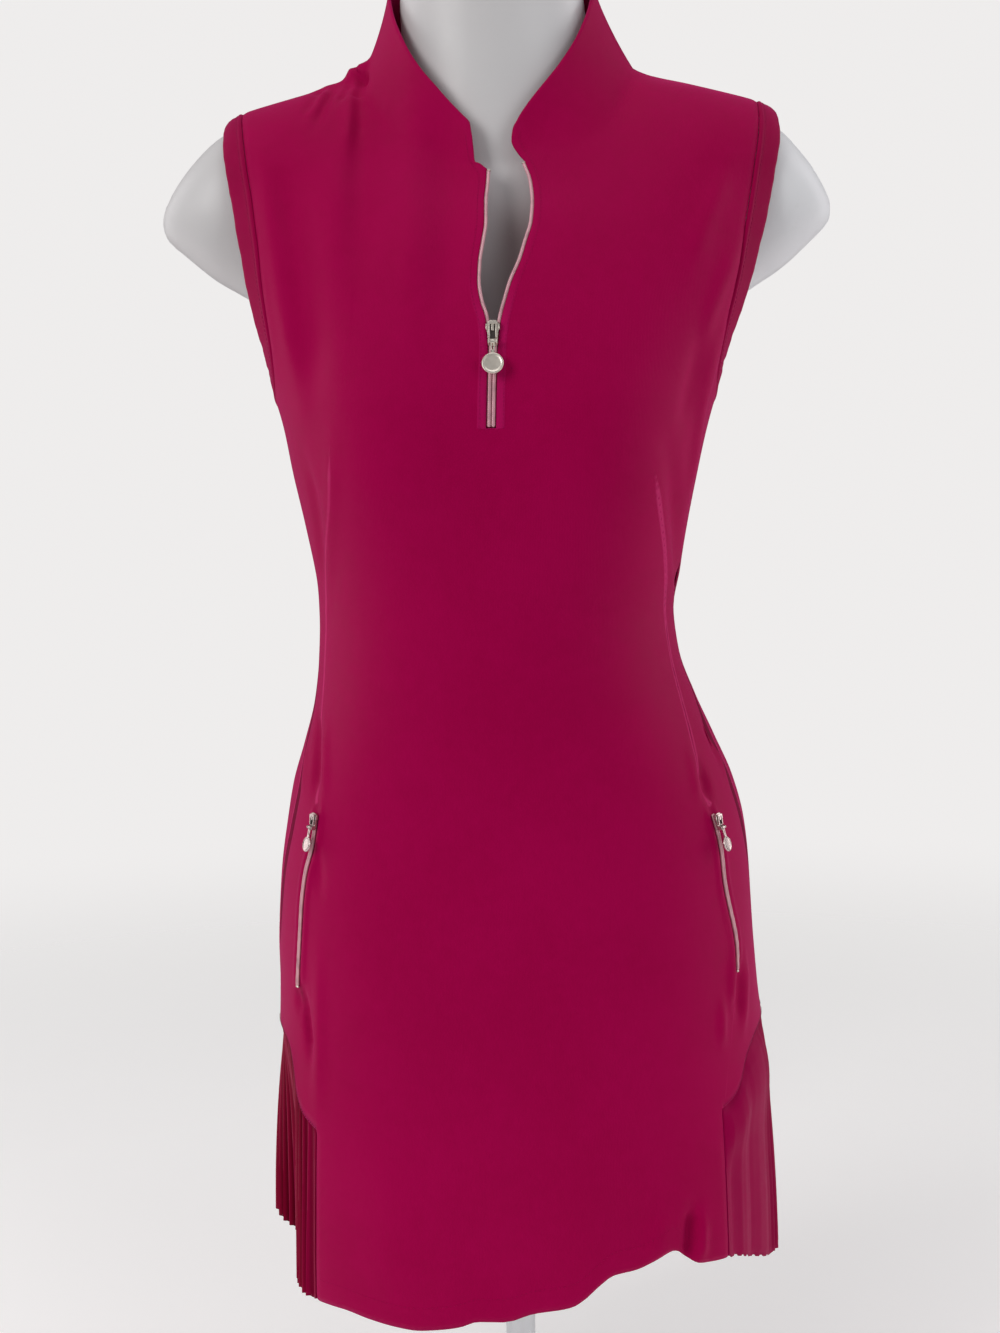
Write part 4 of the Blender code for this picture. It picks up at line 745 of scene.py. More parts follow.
def panel(front):
    """Grid of the whole panel, left to right, with what the other pieces need from it."""
    info = rows_of(front)
    k = columns_of(front)
    left, right = Half(front, -1, k, info["rows"]), Half(front, 1, k, info["rows"])
    if front:
        a, b = left.points[:, 0], right.points[:, 0]
        middle = (a + b) / 2
        z = middle[:, 2]
        flat = on_front(middle[:, 0], z)
        middle[:, 1] = flat[:, 1]
        grid = np.concatenate((left.points[:, ::-1], middle[:, None], right.points), axis=1)
        kk = np.concatenate((-k[::-1] - 1e-6, [0.0], k + 1e-6))
    else:
        grid = np.concatenate((left.points[:, ::-1], right.points[:, 1:]), axis=1)
        kk = np.concatenate((-k[::-1], k[1:]))
    rows, cols = grid.shape[:2]
    missing = np.zeros((rows - 1, cols - 1), bool)
    centre = len(k)
    if front:
        missing[info["slot"]:, centre - 1:centre + 1] = True
    quads = quads_of(grid, missing)
    if not front:
        quads = quads[:, ::-1]
    # ease the neck: strongest at the neck end of the shoulder, nothing on the edges
    neck = K_NECK if front else K_BACK_NECK
    w = np.zeros(rows)
    for i, (kind, v) in enumerate(info["rows"]):
        if kind == "yoke":
            w[i] = ease(min(1.0, max(0.0, (v - 0.35) / 0.4)))
        elif kind == "collar":
            w[i] = 1 - 0.6 * v
    near = np.exp(-((np.abs(kk) - neck) / (2.2 if front else 1.8)) ** 2)
    strength = 0.9 * w[:, None] * near[None, :]
    count = rows * cols
    used = np.zeros(count, bool)
    edge_uses = {}
    a = np.concatenate((quads[:, [0, 1]], quads[:, [1, 2]], quads[:, [2, 3]], quads[:, [3, 0]]))
    pairs, uses = np.unique(np.sort(a, axis=1), axis=0, return_counts=True)
    pinned = np.zeros(count, bool)
    pinned[pairs[uses == 1].ravel()] = True
    grid = relax(grid, quads, strength.ravel(), 200, pinned)
    info.update(front=front, grid=grid, quads=quads, kk=kk, centre=centre, border=pinned)
    return info


def rolled(distance, depth, width):
    return -depth * np.exp(-(distance / width) ** 2)


def finish_panel(info, pocket_lines):
    """Adds folds, rolled edges and seam sinks, and returns the points and normals."""
    grid, quads, kk = info["grid"], info["quads"], info["kk"]
    rows, cols = grid.shape[:2]
    flat = grid.reshape(-1, 3).copy()
    flat[np.isnan(flat[:, 0])] = 0
    normal = vertex_normals(flat, quads)
    surface = on_front if info["front"] else on_back
    height = fold_height(flat, FRONT_FOLDS if info["front"] else BACK_FOLDS, surface)
    height += waviness(flat, 0.16, 3 if info["front"] else 4) * 0.0011
    height += waviness(flat, 0.06, 5 if info["front"] else 6) * 0.00022
    g = flat.reshape(rows, cols, 3)
    # side edges, and the shoulder and collar edges, roll in
    for column in (0, cols - 1):
        gap = np.linalg.norm(g - g[:, column:column + 1], axis=2).ravel()
        below = np.repeat(np.arange(rows) <= info["under"] + 1, cols)
        height += np.where(below, rolled(gap, 0.0013, 0.0024), 0)
        height += np.where(~below & np.repeat(np.arange(rows) <= info["top"], cols), rolled(gap, 0.0007, 0.0020), 0)
    neck = K_NECK if info["front"] else K_BACK_NECK
    top = g[info["top"]]
    gap = np.linalg.norm(g - top[None], axis=2)
    mask = (np.arange(rows)[:, None] <= info["top"]) & (np.abs(kk)[None] >= neck - 0.05)
    height += np.where(mask, rolled(gap, 0.0008, 0.0022), 0).ravel()
    gap = np.linalg.norm(g - g[-1][None], axis=2)
    mask = (np.arange(rows)[:, None] > info["top"]) & (np.abs(kk)[None] <= neck + 0.01)
    height += np.where(mask, rolled(gap, 0.0006, 0.0016), 0).ravel()
    if info["front"]:
        gap = np.linalg.norm(g - g[0][None], axis=2)
        mask = (np.arange(rows)[:, None] < info["low"] + 1) & (np.abs(kk)[None] <= K_APRON + 0.01)
        height += np.where(mask, rolled(gap, 0.0007, 0.0018), 0).ravel()
        for column in (int(np.argmin(np.abs(kk + K_APRON))), int(np.argmin(np.abs(kk - K_APRON)))):
            gap = np.linalg.norm(g - g[:, column:column + 1], axis=2)
            mask = np.repeat(np.arange(rows) < info["low"], cols).reshape(rows, cols)
            height += np.where(mask, rolled(gap, 0.0008, 0.0020), 0).ravel()
        for column in (info["centre"] - 1, info["centre"] + 1):
            gap = np.linalg.norm(g - g[:, column:column + 1], axis=2)
            mask = np.repeat(np.arange(rows) >= info["slot"], cols).reshape(rows, cols)
            height += np.where(mask, rolled(gap, 0.0006, 0.0013), 0).ravel()
        for line, lift in pocket_lines:
            gap, along = distance_to(flat, line)
            fade = ease(np.clip(np.minimum(along, 1 - along) / 0.06, 0, 1)) * 0.8 + 0.2
            height += (0.0013 * np.exp(-((gap - 0.0048) / 0.0024) ** 2) - 0.0006 * np.exp(-(gap / 0.0024) ** 2)) * fade
            height += 0.0006 * np.exp(-(gap / 0.013) ** 2)
    flat = flat + normal * height[:, None]
    return flat, vertex_normals(flat, quads), height


def cloth_uv(info, flat):
    rows, cols = info["grid"].shape[:2]
    g = flat.reshape(rows, cols, 3)
    du = np.linalg.norm(np.diff(g, axis=1), axis=2)
    du[du > 0.05] = 0
    u = np.concatenate((np.zeros((rows, 1)), np.cumsum(du, axis=1)), axis=1)
    u -= u[:, info["centre"]:info["centre"] + 1]
    return np.stack((u, g[..., 2]), -1).reshape(-1, 2)


# ----------------------------------------------------------- materials


class Nodes:
    """Short way to write a node material."""

    def __init__(self, name):
        self.mat = bpy.data.materials.new(name)
        self.mat.use_nodes = True
        self.tree = self.mat.node_tree
        self.shader = self.tree.nodes["Principled BSDF"]

    def node(self, kind, **values):
        n = self.tree.nodes.new(kind)
        for key, value in values.items():
            if hasattr(n, key) and key not in n.inputs:
                setattr(n, key, value)
            else:
                n.inputs[key].default_value = value
        return n

    def link(self, a, b):
        self.tree.links.new(a, b)

    def math(self, operation, a, b=None, clamp=False):
        n = self.tree.nodes.new("ShaderNodeMath")
        n.operation = operation
        n.use_clamp = clamp
        for i, v in enumerate((a, b)):
            if v is None:
                continue
            if isinstance(v, (int, float)):
                n.inputs[i].default_value = v
            else:
                self.link(v, n.inputs[i])
        return n.outputs[0]

    def noise(self, coordinate, scale, detail=3.0, rough=0.5):
        n = self.tree.nodes.new("ShaderNodeTexNoise")
        n.inputs["Scale"].default_value = scale
        n.inputs["Detail"].default_value = detail
        n.inputs["Roughness"].default_value = rough
        self.link(coordinate, n.inputs["Vector"])
        return n.outputs["Fac"]

    def attribute(self, name):
        n = self.tree.nodes.new("ShaderNodeAttribute")
        n.attribute_name = name
        return n.outputs["Fac"]

    def step(self, value, lo, hi):
        n = self.tree.nodes.new("ShaderNodeMapRange")
        n.interpolation_type = "SMOOTHSTEP"
        n.inputs["From Min"].default_value = lo
        n.inputs["From Max"].default_value = hi
        self.link(value, n.inputs["Value"])
        return n.outputs["Result"]

    def mix(self, factor, a, b):
        n = self.tree.nodes.new("ShaderNodeMix")
        n.data_type = "RGBA"
        self.link(factor, n.inputs[0])
        for i, v in ((6, a), (7, b)):
            if isinstance(v, tuple):
                n.inputs[i].default_value = (*v, 1)
            else:
                self.link(v, n.inputs[i])
        return n.outputs[2]

    def bump(self, height, distance=1.0, strength=1.0):
        n = self.tree.nodes.new("ShaderNodeBump")
        n.inputs["Strength"].default_value = strength
        n.inputs["Distance"].default_value = distance
        self.link(height, n.inputs["Height"])
        self.link(n.outputs[0], self.shader.inputs["Normal"])


def knit(name, base, deep, lines=False, rib=1.0, lit_colour=None, sheen=0.36):
    """Smooth technical jersey: fine wales, faint mottling and a dry, pinkish sheen; on the pleats and along creases and
    seams it also paints shade and highlights.
    """
    m = Nodes(name)
    where = m.node("ShaderNodeTexCoord")
    coarse = m.noise(where.outputs["Object"], 7.0, 2.0)
    fine = m.noise(where.outputs["Object"], 95.0, 4.0, 0.6)
    fuzz = m.noise(where.outputs["Object"], 1500.0, 2.0, 0.6)
    blend = m.math("ADD", m.math("MULTIPLY", coarse, 0.7), m.math("MULTIPLY", fine, 0.3))
    colour = m.mix(m.step(blend, 0.35, 0.65), deep, base)
    # painted light on the pleats: a lighter tone where the 'open' share is set
    if lit_colour:
        ridge, lit_share = m.attribute("ridge"), m.attribute("open")
        closed = m.math("SUBTRACT", 1.0, lit_share)
        colour = m.mix(lit_share, colour, lit_colour)
        # painted shade in the valleys of the closed pleats, and a painted highlight on their crests
        valley_shade = m.math("MULTIPLY", m.step(ridge, 0.80, 0.35), closed)
        colour = m.mix(m.math("MULTIPLY", valley_shade, 0.80), colour, (0.095, 0.0001, 0.007))
        crest_highlight = m.math("MULTIPLY", m.step(ridge, 0.88, 1.0), closed)
        colour = m.mix(m.math("MULTIPLY", crest_highlight, 0.70), colour, (0.42, 0.012, 0.080))
    uv = m.node("ShaderNodeUVMap")
    uv.uv_map = "cloth"
    split = m.node("ShaderNodeSeparateXYZ")
    m.link(uv.outputs[0], split.inputs[0])
    u = m.math("MULTIPLY", split.outputs[0], 2 * math.pi / 0.00105)
    v = m.math("MULTIPLY", split.outputs[1], 2 * math.pi / 0.00085)
    wale = m.math("SINE", u)
    stitch = m.math("SINE", m.math("ADD", v, m.math("MULTIPLY", m.math("COSINE", u), 1.7)))
    height = m.math("ADD", m.math("MULTIPLY", wale, 0.000014 * rib), m.math("MULTIPLY", stitch, 0.000014 * rib))
    height = m.math("ADD", height, m.math("MULTIPLY", fuzz, 0.00004))
    height = m.math("ADD", height, m.math("MULTIPLY", fine, 0.00009))
    if lines:
        seam = m.attribute("seam")
        # painted shade along the creases
        colour = m.mix(m.math("MULTIPLY", m.attribute("crease_shade"), 0.85), colour, (0.15, 0.0002, 0.020))
        # painted shade in the groove of each sewn line, and a painted highlight on the lip beside it; both also sink or
        # raise the bump
        seam_groove_shade = m.step(seam, 0.0009, 0.0)
        seam_lip_highlight = m.math("MULTIPLY", m.step(seam, 0.0034, 0.0015), m.step(seam, 0.0006, 0.0015))
        colour = m.mix(m.math("MULTIPLY", seam_groove_shade, 0.75), colour, (0.10, 0.0, 0.014))
        colour = m.mix(m.math("MULTIPLY", seam_lip_highlight, 0.45), colour, (0.74, 0.05, 0.22))
        height = m.math("ADD", height, m.math("MULTIPLY", seam_groove_shade, -0.0005))
        height = m.math("ADD", height, m.math("MULTIPLY", seam_lip_highlight, 0.0003))
        placket = m.attribute("placket")
        level = m.node("ShaderNodeSeparateXYZ")
        m.link(where.outputs["Object"], level.inputs[0])
        low = m.step(level.outputs["Z"], 0.885, 0.835)
        inside = m.math("MULTIPLY", m.step(placket, 0.0058, 0.0050), m.math("ADD", m.math("MULTIPLY", low, 0.36), 0.03))
        colour = m.mix(inside, colour, (0.56, 0.012, 0.15))
        edge = m.math("MULTIPLY", m.step(placket, 0.0064, 0.0049), m.math("MULTIPLY", low, 0.00022))
        height = m.math("ADD", height, edge)
    m.link(colour, m.shader.inputs["Base Color"])
    rough = m.node("ShaderNodeMapRange")
    rough.inputs["To Min"].default_value = 0.52
    rough.inputs["To Max"].default_value = 0.66
    m.link(fine, rough.inputs["Value"])
    m.link(rough.outputs[0], m.shader.inputs["Roughness"])
    m.shader.inputs["Specular IOR Level"].default_value = 0.11
    m.shader.inputs["Specular Tint"].default_value = (1.0, 0.16, 0.42, 1)
    m.shader.inputs["Sheen Weight"].default_value = sheen
    m.shader.inputs["Sheen Roughness"].default_value = 0.38
    m.shader.inputs["Sheen Tint"].default_value = (1.0, 0.07, 0.38, 1)
    m.bump(height)
    return m.mat


def metal(name, colour, rough, metallic=1.0, scale=260.0, grain=0.00003, tarnish=0.6):
    m = Nodes(name)
    where = m.node("ShaderNodeTexCoord")
    fine = m.noise(where.outputs["Object"], scale, 4.0, 0.6)
    patch = m.noise(where.outputs["Object"], scale * 0.16, 3.0)
    deep = tuple(c * tarnish for c in colour)
    m.link(m.mix(m.step(patch, 0.25, 0.6), deep, colour), m.shader.inputs["Base Color"])
    r = m.node("ShaderNodeMapRange")
    r.inputs["To Min"].default_value = max(0.05, rough - 0.09)
    r.inputs["To Max"].default_value = rough + 0.12
    m.link(fine, r.inputs["Value"])
    m.link(r.outputs[0], m.shader.inputs["Roughness"])
    m.shader.inputs["Metallic"].default_value = metallic
    m.bump(m.math("MULTIPLY", fine, grain))
    return m.mat


def glossy_shell(name):
    """White moulded shell: slightly uneven gloss and a faint orange peel, painted darker on its left side than its
    right, with a painted shadow behind the slit of the dress.
    """
    m = Nodes(name)
    where = m.node("ShaderNodeTexCoord")
    peel = m.noise(where.outputs["Object"], 210.0, 2.0)
    patch = m.noise(where.outputs["Object"], 5.0, 3.0)
    dust = m.noise(where.outputs["Object"], 60.0, 5.0, 0.65)
    split = m.node("ShaderNodeSeparateXYZ")
    m.link(where.outputs["Object"], split.inputs[0])
    # painted light and shade: the shell is darker on its left side, and lighter and bluer on its right
    colour = m.mix(m.step(split.outputs["X"], -0.04, 0.16), (0.640, 0.625, 0.630), (0.84, 0.845, 0.87))
    colour = m.mix(m.math("MULTIPLY", m.step(patch, 0.3, 0.7), 0.3), colour, (0.74, 0.73, 0.745))
    # painted shadow, dark brown, on the chest behind the slit of the dress: below the collar and right of the centre
    slit_shadow = m.math("MULTIPLY", m.step(split.outputs["Z"], 0.955, 0.900), m.step(split.outputs["X"], -0.012, 0.012))
    slit_shadow = m.math("MULTIPLY", slit_shadow, m.step(split.outputs["X"], 0.070, 0.045))
    colour = m.mix(m.math("MULTIPLY", slit_shadow, 0.72), colour, (0.20, 0.10, 0.105))
    colour = m.mix(m.math("MULTIPLY", m.step(dust, 0.6, 0.8), 0.25), colour, (0.66, 0.65, 0.63))
    m.link(colour, m.shader.inputs["Base Color"])
    r = m.node("ShaderNodeMapRange")
    r.inputs["To Min"].default_value = 0.38
    r.inputs["To Max"].default_value = 0.54
    m.link(dust, r.inputs["Value"])
    m.link(r.outputs[0], m.shader.inputs["Roughness"])
    m.shader.inputs["Coat Weight"].default_value = 0.08
    m.shader.inputs["Coat Roughness"].default_value = 0.25
    m.bump(m.math("ADD", m.math("MULTIPLY", peel, 0.00004), m.math("MULTIPLY", patch, 0.0009)))
    return m.mat


def thread(name, colour):
    m = Nodes(name)
    where = m.node("ShaderNodeTexCoord")
    fine = m.noise(where.outputs["Object"], 2600.0, 2.0)
    m.link(m.mix(m.step(fine, 0.3, 0.7), tuple(c * 0.6 for c in colour), colour), m.shader.inputs["Base Color"])
    m.shader.inputs["Roughness"].default_value = 0.5
    m.shader.inputs["Specular IOR Level"].default_value = 0.15
    m.shader.inputs["Specular Tint"].default_value = (1.0, 0.16, 0.42, 1)
    m.shader.inputs["Sheen Weight"].default_value = 0.2
    m.shader.inputs["Sheen Tint"].default_value = (1.0, 0.07, 0.38, 1)
    m.bump(m.math("MULTIPLY", fine, 0.00005))
    return m.mat


RASPBERRY, RASPBERRY_DEEP = (0.385, 0.0006, 0.068), (0.350, 0.0004, 0.058)
cloth_mat = knit("knit_panels", RASPBERRY, RASPBERRY_DEEP, lines=True)
band_mat = knit("knit_bands", (0.320, 0.0005, 0.054), (0.290, 0.0004, 0.046))
# the pleats are the same knit painted darker as shade, with a painted lighter tone where they lie open, mostly on the
# right
pleat_mat = knit("knit_pleats_painted_shade_and_light", (0.235, 0.0005, 0.026), (0.205, 0.0004, 0.020), lit_colour=(0.315, 0.0004, 0.057),
                 sheen=0.12)
thread_mat = thread("thread_raspberry", (0.37, 0.002, 0.072))
hem_thread_mat = thread("thread_hem", (0.40, 0.001, 0.075))
seam_thread_mat = thread("thread_seam", (0.12, 0.0002, 0.014))
shell_mat = glossy_shell("shell_white")
steel_mat = metal("steel_plain", (0.66, 0.67, 0.69), 0.30, 1.0, 180.0, 0.000003, 0.95)
zip_mat = metal("zip_hardware", (0.84, 0.77, 0.68), 0.33, 0.75, 420.0, 0.00002, 0.78)
pocket_mat = metal("zip_hardware_pockets", (0.60, 0.49, 0.47), 0.26, 0.92, 420.0, 0.00002, 0.70)
# near-black metal, painted as the shade inside the slider's recess
recess_shade_mat = metal("zip_recess_shade", (0.10, 0.085, 0.08), 0.45, 0.7, 420.0, 0.00002, 0.6)
coil_mat = metal("zip_coil", (0.74, 0.40, 0.45), 0.42, 0.30, 700.0, 0.00003, 0.75)

# ----------------------------------------------------------- the panels

front, back = panel(True), panel(False)

pocket_lines = []
for side in (-1, 1):
    rows = np.array(POCKET[side])[:, ::-1]
    flat = densify(rows, 0.003)
    pocket_lines.append((on_front(flat[:, 0], flat[:, 1]), 0.0))

fronts = {}
for info, name in ((front, "dress_front"), (back, "dress_back")):
    flat, normal, height = finish_panel(info, pocket_lines if info["front"] else ())
    info["flat"], info["normal"] = flat, normal
    uv = cloth_uv(info, flat)
    if info["front"]:
        # distances to the sewn lines, from which the knit paints a shade in each groove and a highlight beside it; the
        # offsets make some lines fainter
        seam = np.full(len(flat), 1.0)
        for i, line in enumerate(PANEL_SEAMS):
            path = densify(line, 0.004)
            gap, along = distance_to(flat, on_front_seam(path[:, 0], path[:, 1]))
            gap = gap + 0.0034 * np.clip(1 - along / 0.12, 0, 1) + (0.0008, 0.0, 0.0022, 0.0024)[i]
            seam = np.minimum(seam, gap)
        # painted shade along the creases
        crease_shade = np.zeros(len(flat))
        for line, wide, strength in CREASE_SHADE_LINES:
            path = densify(line, 0.003)
            gap, along = distance_to(flat, on_front(path[:, 0], path[:, 1]))
            fade = ease(np.clip(np.minimum(along, 1 - along) / 0.25, 0, 1))
            crease_shade = np.maximum(crease_shade, strength * fade * np.exp(-(gap / wide) ** 2))
        slot = info["slot"]
        rows, cols = info["grid"].shape[:2]
        g = flat.reshape(rows, cols, 3)
        c = info["centre"]
        left_edge = g[slot:, c - 1]
        right_edge = g[slot:, c + 1]
        placket = np.minimum(distance_to(flat, left_edge)[0], distance_to(flat, right_edge)[0])
        between = (flat[:, 2] > SLOT_Z) & (flat[:, 2] < 0.85) & (np.abs(flat[:, 0] + 0.004) < 0.006)
        placket = np.where(between, 0.0, placket)
        placket = np.where(flat[:, 2] < SLOT_Z - 0.0005, placket + 0.004, placket)
        info["slit"] = (left_edge, right_edge)
    else:
        placket, crease_shade = np.full(len(flat), 1.0), np.zeros(len(flat))
        g = flat.reshape(info["grid"].shape)
        # painted shade beside the back's side seams, 0.40 to 0.70 m up: the dark seam colour is widened there
        side_gap = np.minimum(np.linalg.norm(g - g[:, :1], axis=2), np.linalg.norm(g - g[:, -1:], axis=2)).ravel()
        shade = np.clip(np.minimum(flat[:, 2] - 0.40, 0.70 - flat[:, 2]) / 0.05, 0, 1)
        seam = side_gap - 0.0034 * shade
    points, quads, uv, seam, placket, crease_shade = compact(flat, info["quads"], uv, seam, placket, crease_shade)
    obj = new_object(name, points, quads, cloth_mat)
    add_uv(obj, uv)
    add_float(obj, "seam", seam)
    add_float(obj, "placket", placket)
    add_float(obj, "crease_shade", crease_shade)
    solidify(obj, THICK)
    fronts[name] = obj
dress_front, dress_back = fronts["dress_front"], fronts["dress_back"]

# ----------------------------------------------------------- armhole bands


def band(name, side):
    """The band sewn round the armhole: a folded strip with a ridge beside its seam."""
    ring = []
    for info in (front, back):
        rows, cols = info["grid"].shape[:2]
        column = 0 if side < 0 else cols - 1
        g = info["grid"].reshape(rows, cols, 3)
        n = vertex_normals(np.nan_to_num(g.reshape(-1, 3)), info["quads"]).reshape(rows, cols, 3)
        span = slice(info["under"], info["top"] + 1)
        ring.append((g[span, column], n[span, column]))
    (up, up_n), (down, down_n) = ring
    down, down_n = down[::-1], down_n[::-1]
    points = np.concatenate((up[:-1], ((up[-1] + down[0]) / 2)[None], down[1:-1]))
    normals = np.concatenate((up_n[:-1], (up_n[-1] + down_n[0])[None], down_n[1:-1]))
    points[0] = (up[0] + down[-1]) / 2
    normals[0] = up_n[0] + down_n[-1]
    # even steps round the ring, then smooth normals
    d = np.concatenate(([0], np.cumsum(np.linalg.norm(np.diff(np.vstack((points, points[:1])), axis=0), axis=1))))
    n_ring = 230
    t = np.linspace(0, d[-1], n_ring + 1)[:-1]
    p = np.stack([np.interp(t, d, np.append(points[:, i], points[0, i])) for i in range(3)], -1)
    n = np.stack([np.interp(t, d, np.append(normals[:, i], normals[0, i])) for i in range(3)], -1)
    for _ in range(14):
        n = (np.roll(n, 1, 0) + 2 * n + np.roll(n, -1, 0)) / 4
        n /= np.linalg.norm(n, axis=1, keepdims=True)
    tangent = np.roll(p, -1, 0) - np.roll(p, 1, 0)
    tangent /= np.linalg.norm(tangent, axis=1, keepdims=True)
    for _ in range(4):
        tangent = (np.roll(tangent, 1, 0) + 2 * tangent + np.roll(tangent, -1, 0)) / 4
    inward = np.cross(n, tangent)
    inward /= np.linalg.norm(inward, axis=1, keepdims=True)
    heart = np.array((side * 0.19, SEAM_Y, 0.90))
    if (inward * (heart - p)).sum(1).mean() < 0:
        inward = -inward
    cos, sin = math.cos(BAND_LEAN), math.sin(BAND_LEAN)
    lean = inward * cos - n * sin
    face = n * cos + inward * sin
    # along the band, and above it, in mm
    profile = ((0.0, -0.9), (0.5, -0.35), (1.1, 0.25), (1.9, 0.55), (2.7, 0.45), (3.6, 0.10), (5.2, -0.02), (8.0, 0.05),
               (11.0, 0.05), (14.0, 0.0), (15.6, -0.05), (16.5, -0.30), (17.0, -0.90), (16.6, -1.5), (15.5, -1.7),
               (11.0, -1.55), (6.0, -1.55), (2.0, -1.6), (0.4, -1.8))
    wave = np.sin(t / d[-1] * 2 * math.pi * 17) * 0.5 + np.sin(t / d[-1] * 2 * math.pi * 41 + 1.3) * 0.3
    low = np.exp(-((p[:, 2] - 0.80) / 0.055) ** 2)
    tip = np.exp(-((p[:, 1] - SEAM_Y) / 0.030) ** 2) * (p[:, 2] > 0.95)
    rows = []
    for s, h in profile:
        reach = s / 17.0
        pull = 1 + 0.012 * wave * reach - 0.05 * low * reach * (wave > 0.2)
        lift = h + (0.16 + 0.42 * low) * wave * reach ** 1.5
        over = max(0.0, (s - 6.5) / 10.5)
        lift = lift - tip * (4.6 if side < 0 else 3.0) * over ** 2
        pull = pull - tip * 0.10 * over ** 2
        rows.append(p + inward * GAP + lean * (s * 0.001 * pull)[:, None] + face * (lift * 0.001)[:, None])
    g = np.array(rows)
    count, m = len(profile), n_ring
    points = g.reshape(-1, 3)
    faces = []
    for j in range(count):
        for i in range(m):
            a, b = (i + 1) % m, (j + 1) % count
            f = (j * m + i, b * m + i, b * m + a, j * m + a)
            faces.append(f)
    f = np.array(faces)
    q = points[f]
    out = np.cross(q[:, 2] - q[:, 0], q[:, 3] - q[:, 1])
    if (out[:m] * n).sum() < 0 and (out[5 * m:6 * m] * face).sum() < 0:
        f = f[:, ::-1]
    elif (out[5 * m:6 * m] * face).sum() < 0:
        f = f[:, ::-1]
    obj = new_object(name, points, f, band_mat)
    s_mm = np.array([s for s, _ in profile]) * 0.001
    uv = np.stack((np.tile(t, count), np.repeat(s_mm, m)), -1)
    add_uv(obj, uv)
    line = p + inward * GAP + lean * 0.0042 + face * 0.00012
    return obj, line, face, t


bands = {}
for side, name in ((-1, "left"), (1, "right")):
    bands[name] = band("armhole_binding_" + name, side)

# ----------------------------------------------------------- stitches


def stitches(name, runs, mat, length=0.0021, gap=0.0009, radius=0.00017):
    """Short threads laid along lines; each run is (points, normals, closed)."""
    points, faces = [], []
    for line, normals, closed in runs:
        if closed:
            line, normals = np.vstack((line, line[:1])), np.vstack((normals, normals[:1]))
        d = np.concatenate(([0], np.cumsum(np.linalg.norm(np.diff(line, axis=0), axis=1))))
        pitch = length + gap
        for i in range(int(d[-1] / pitch)):
            stations = np.array((0.0, 0.18, 0.5, 0.82, 1.0)) * length + i * pitch
            c = np.stack([np.interp(stations, d, line[:, j]) for j in range(3)], -1)
            n = np.stack([np.interp(stations, d, normals[:, j]) for j in range(3)], -1)
            n /= np.linalg.norm(n, axis=1, keepdims=True)
            run = c[-1] - c[0]
            run /= max(np.linalg.norm(run), 1e-9)
            across = np.cross(run, n)
            base = len(points)
            for j, (fat, up) in enumerate(((0.35, -0.5), (0.9, 0.35), (1.0, 0.75), (0.9, 0.35), (0.35, -0.5))):
                for q in range(5):
                    a = 2 * math.pi * q / 5
                    points.append(c[j] + across[j] * math.cos(a) * radius * fat
                                  + n[j] * (math.sin(a) * radius * fat * 0.8 + up * radius))
            for j in range(4):
                for q in range(5):
                    r = (q + 1) % 5
                    faces.append((base + j * 5 + q, base + j * 5 + r, base + (j + 1) * 5 + r, base + (j + 1) * 5 + q))
            faces.append(tuple(base + q for q in reversed(range(5))))
            faces.append(tuple(base + 20 + q for q in range(5)))
    mesh = bpy.data.meshes.new(name)
    mesh.from_pydata([tuple(p) for p in points], [], faces)
    mesh.materials.append(mat)
    mesh.shade_smooth()
    obj = bpy.data.objects.new(name, mesh)
    bpy.context.scene.collection.objects.link(obj)
    return obj


pieces = [dress_front, dress_back]
for name, (obj, line, face, _) in bands.items():
    pieces.append(obj)
    pieces.append(stitches("armhole_stitching_" + name, [(line, face, True)], thread_mat))


def allowance(name, line, normals, half=0.0026, deep=0.0016):
    """Strip of cloth behind a seam, so that nothing shows between the two panels."""
    run = np.gradient(line, axis=0)
    across = np.cross(run, normals)
    across /= np.maximum(np.linalg.norm(across, axis=1, keepdims=True), 1e-9)
    grid = np.stack([line + across * half * w - normals * deep for w in (-1, 0, 1)], 1)
    i, r = np.meshgrid(np.arange(len(line) - 1), np.arange(2), indexing="ij")
    a = (i * 3 + r).ravel()
    quads = np.stack((a, a + 3, a + 4, a + 1), -1)
    flat = grid.reshape(-1, 3)
    if (vertex_normals(flat, quads) * np.repeat(normals, 3, 0)).sum() < 0:
        quads = quads[:, ::-1]
    obj = new_object(name, flat, quads, band_mat)
    add_uv(obj, flat[:, [0, 2]])
    solidify(obj, 0.0005, -1.0)
    return obj


for side, name in ((-1, "left"), (1, "right")):
    shape = front["grid"].shape
    g, n = front["grid"], vertex_normals(np.nan_to_num(front["grid"].reshape(-1, 3)), front["quads"]).reshape(shape)
    column = 0 if side < 0 else shape[1] - 1
    rows = slice(front["low"], front["under"] + 1)
    pieces.append(allowance("side_seam_" + name, g[rows, column], n[rows, column]))
    edge = np.nonzero((front["kk"] * side >= K_NECK - 0.01))[0]
    edge = edge if side < 0 else edge[::-1]
    pieces.append(allowance("shoulder_seam_" + name, g[front["top"], edge], n[front["top"], edge], 0.0022, 0.0012))
    rims, faces = [], []
    for info, limit in ((front, K_NECK), (back, K_BACK_NECK)):
        shape = info["grid"].shape
        face = vertex_normals(np.nan_to_num(info["grid"].reshape(-1, 3)), info["quads"]).reshape(shape)
        inside = np.nonzero((np.abs(info["kk"]) <= limit + 0.01))[0]
        column = inside[0] if side < 0 else inside[-1]
        rims.append(info["grid"][info["top"]:, column])
        faces.append(face[info["top"]:, column])
    line, face = (rims[0] + rims[1]) / 2, faces[0] + faces[1]
    face /= np.linalg.norm(face, axis=1, keepdims=True)
    pieces.append(allowance("collar_seam_" + name, line, face, 0.0044, 0.0008))


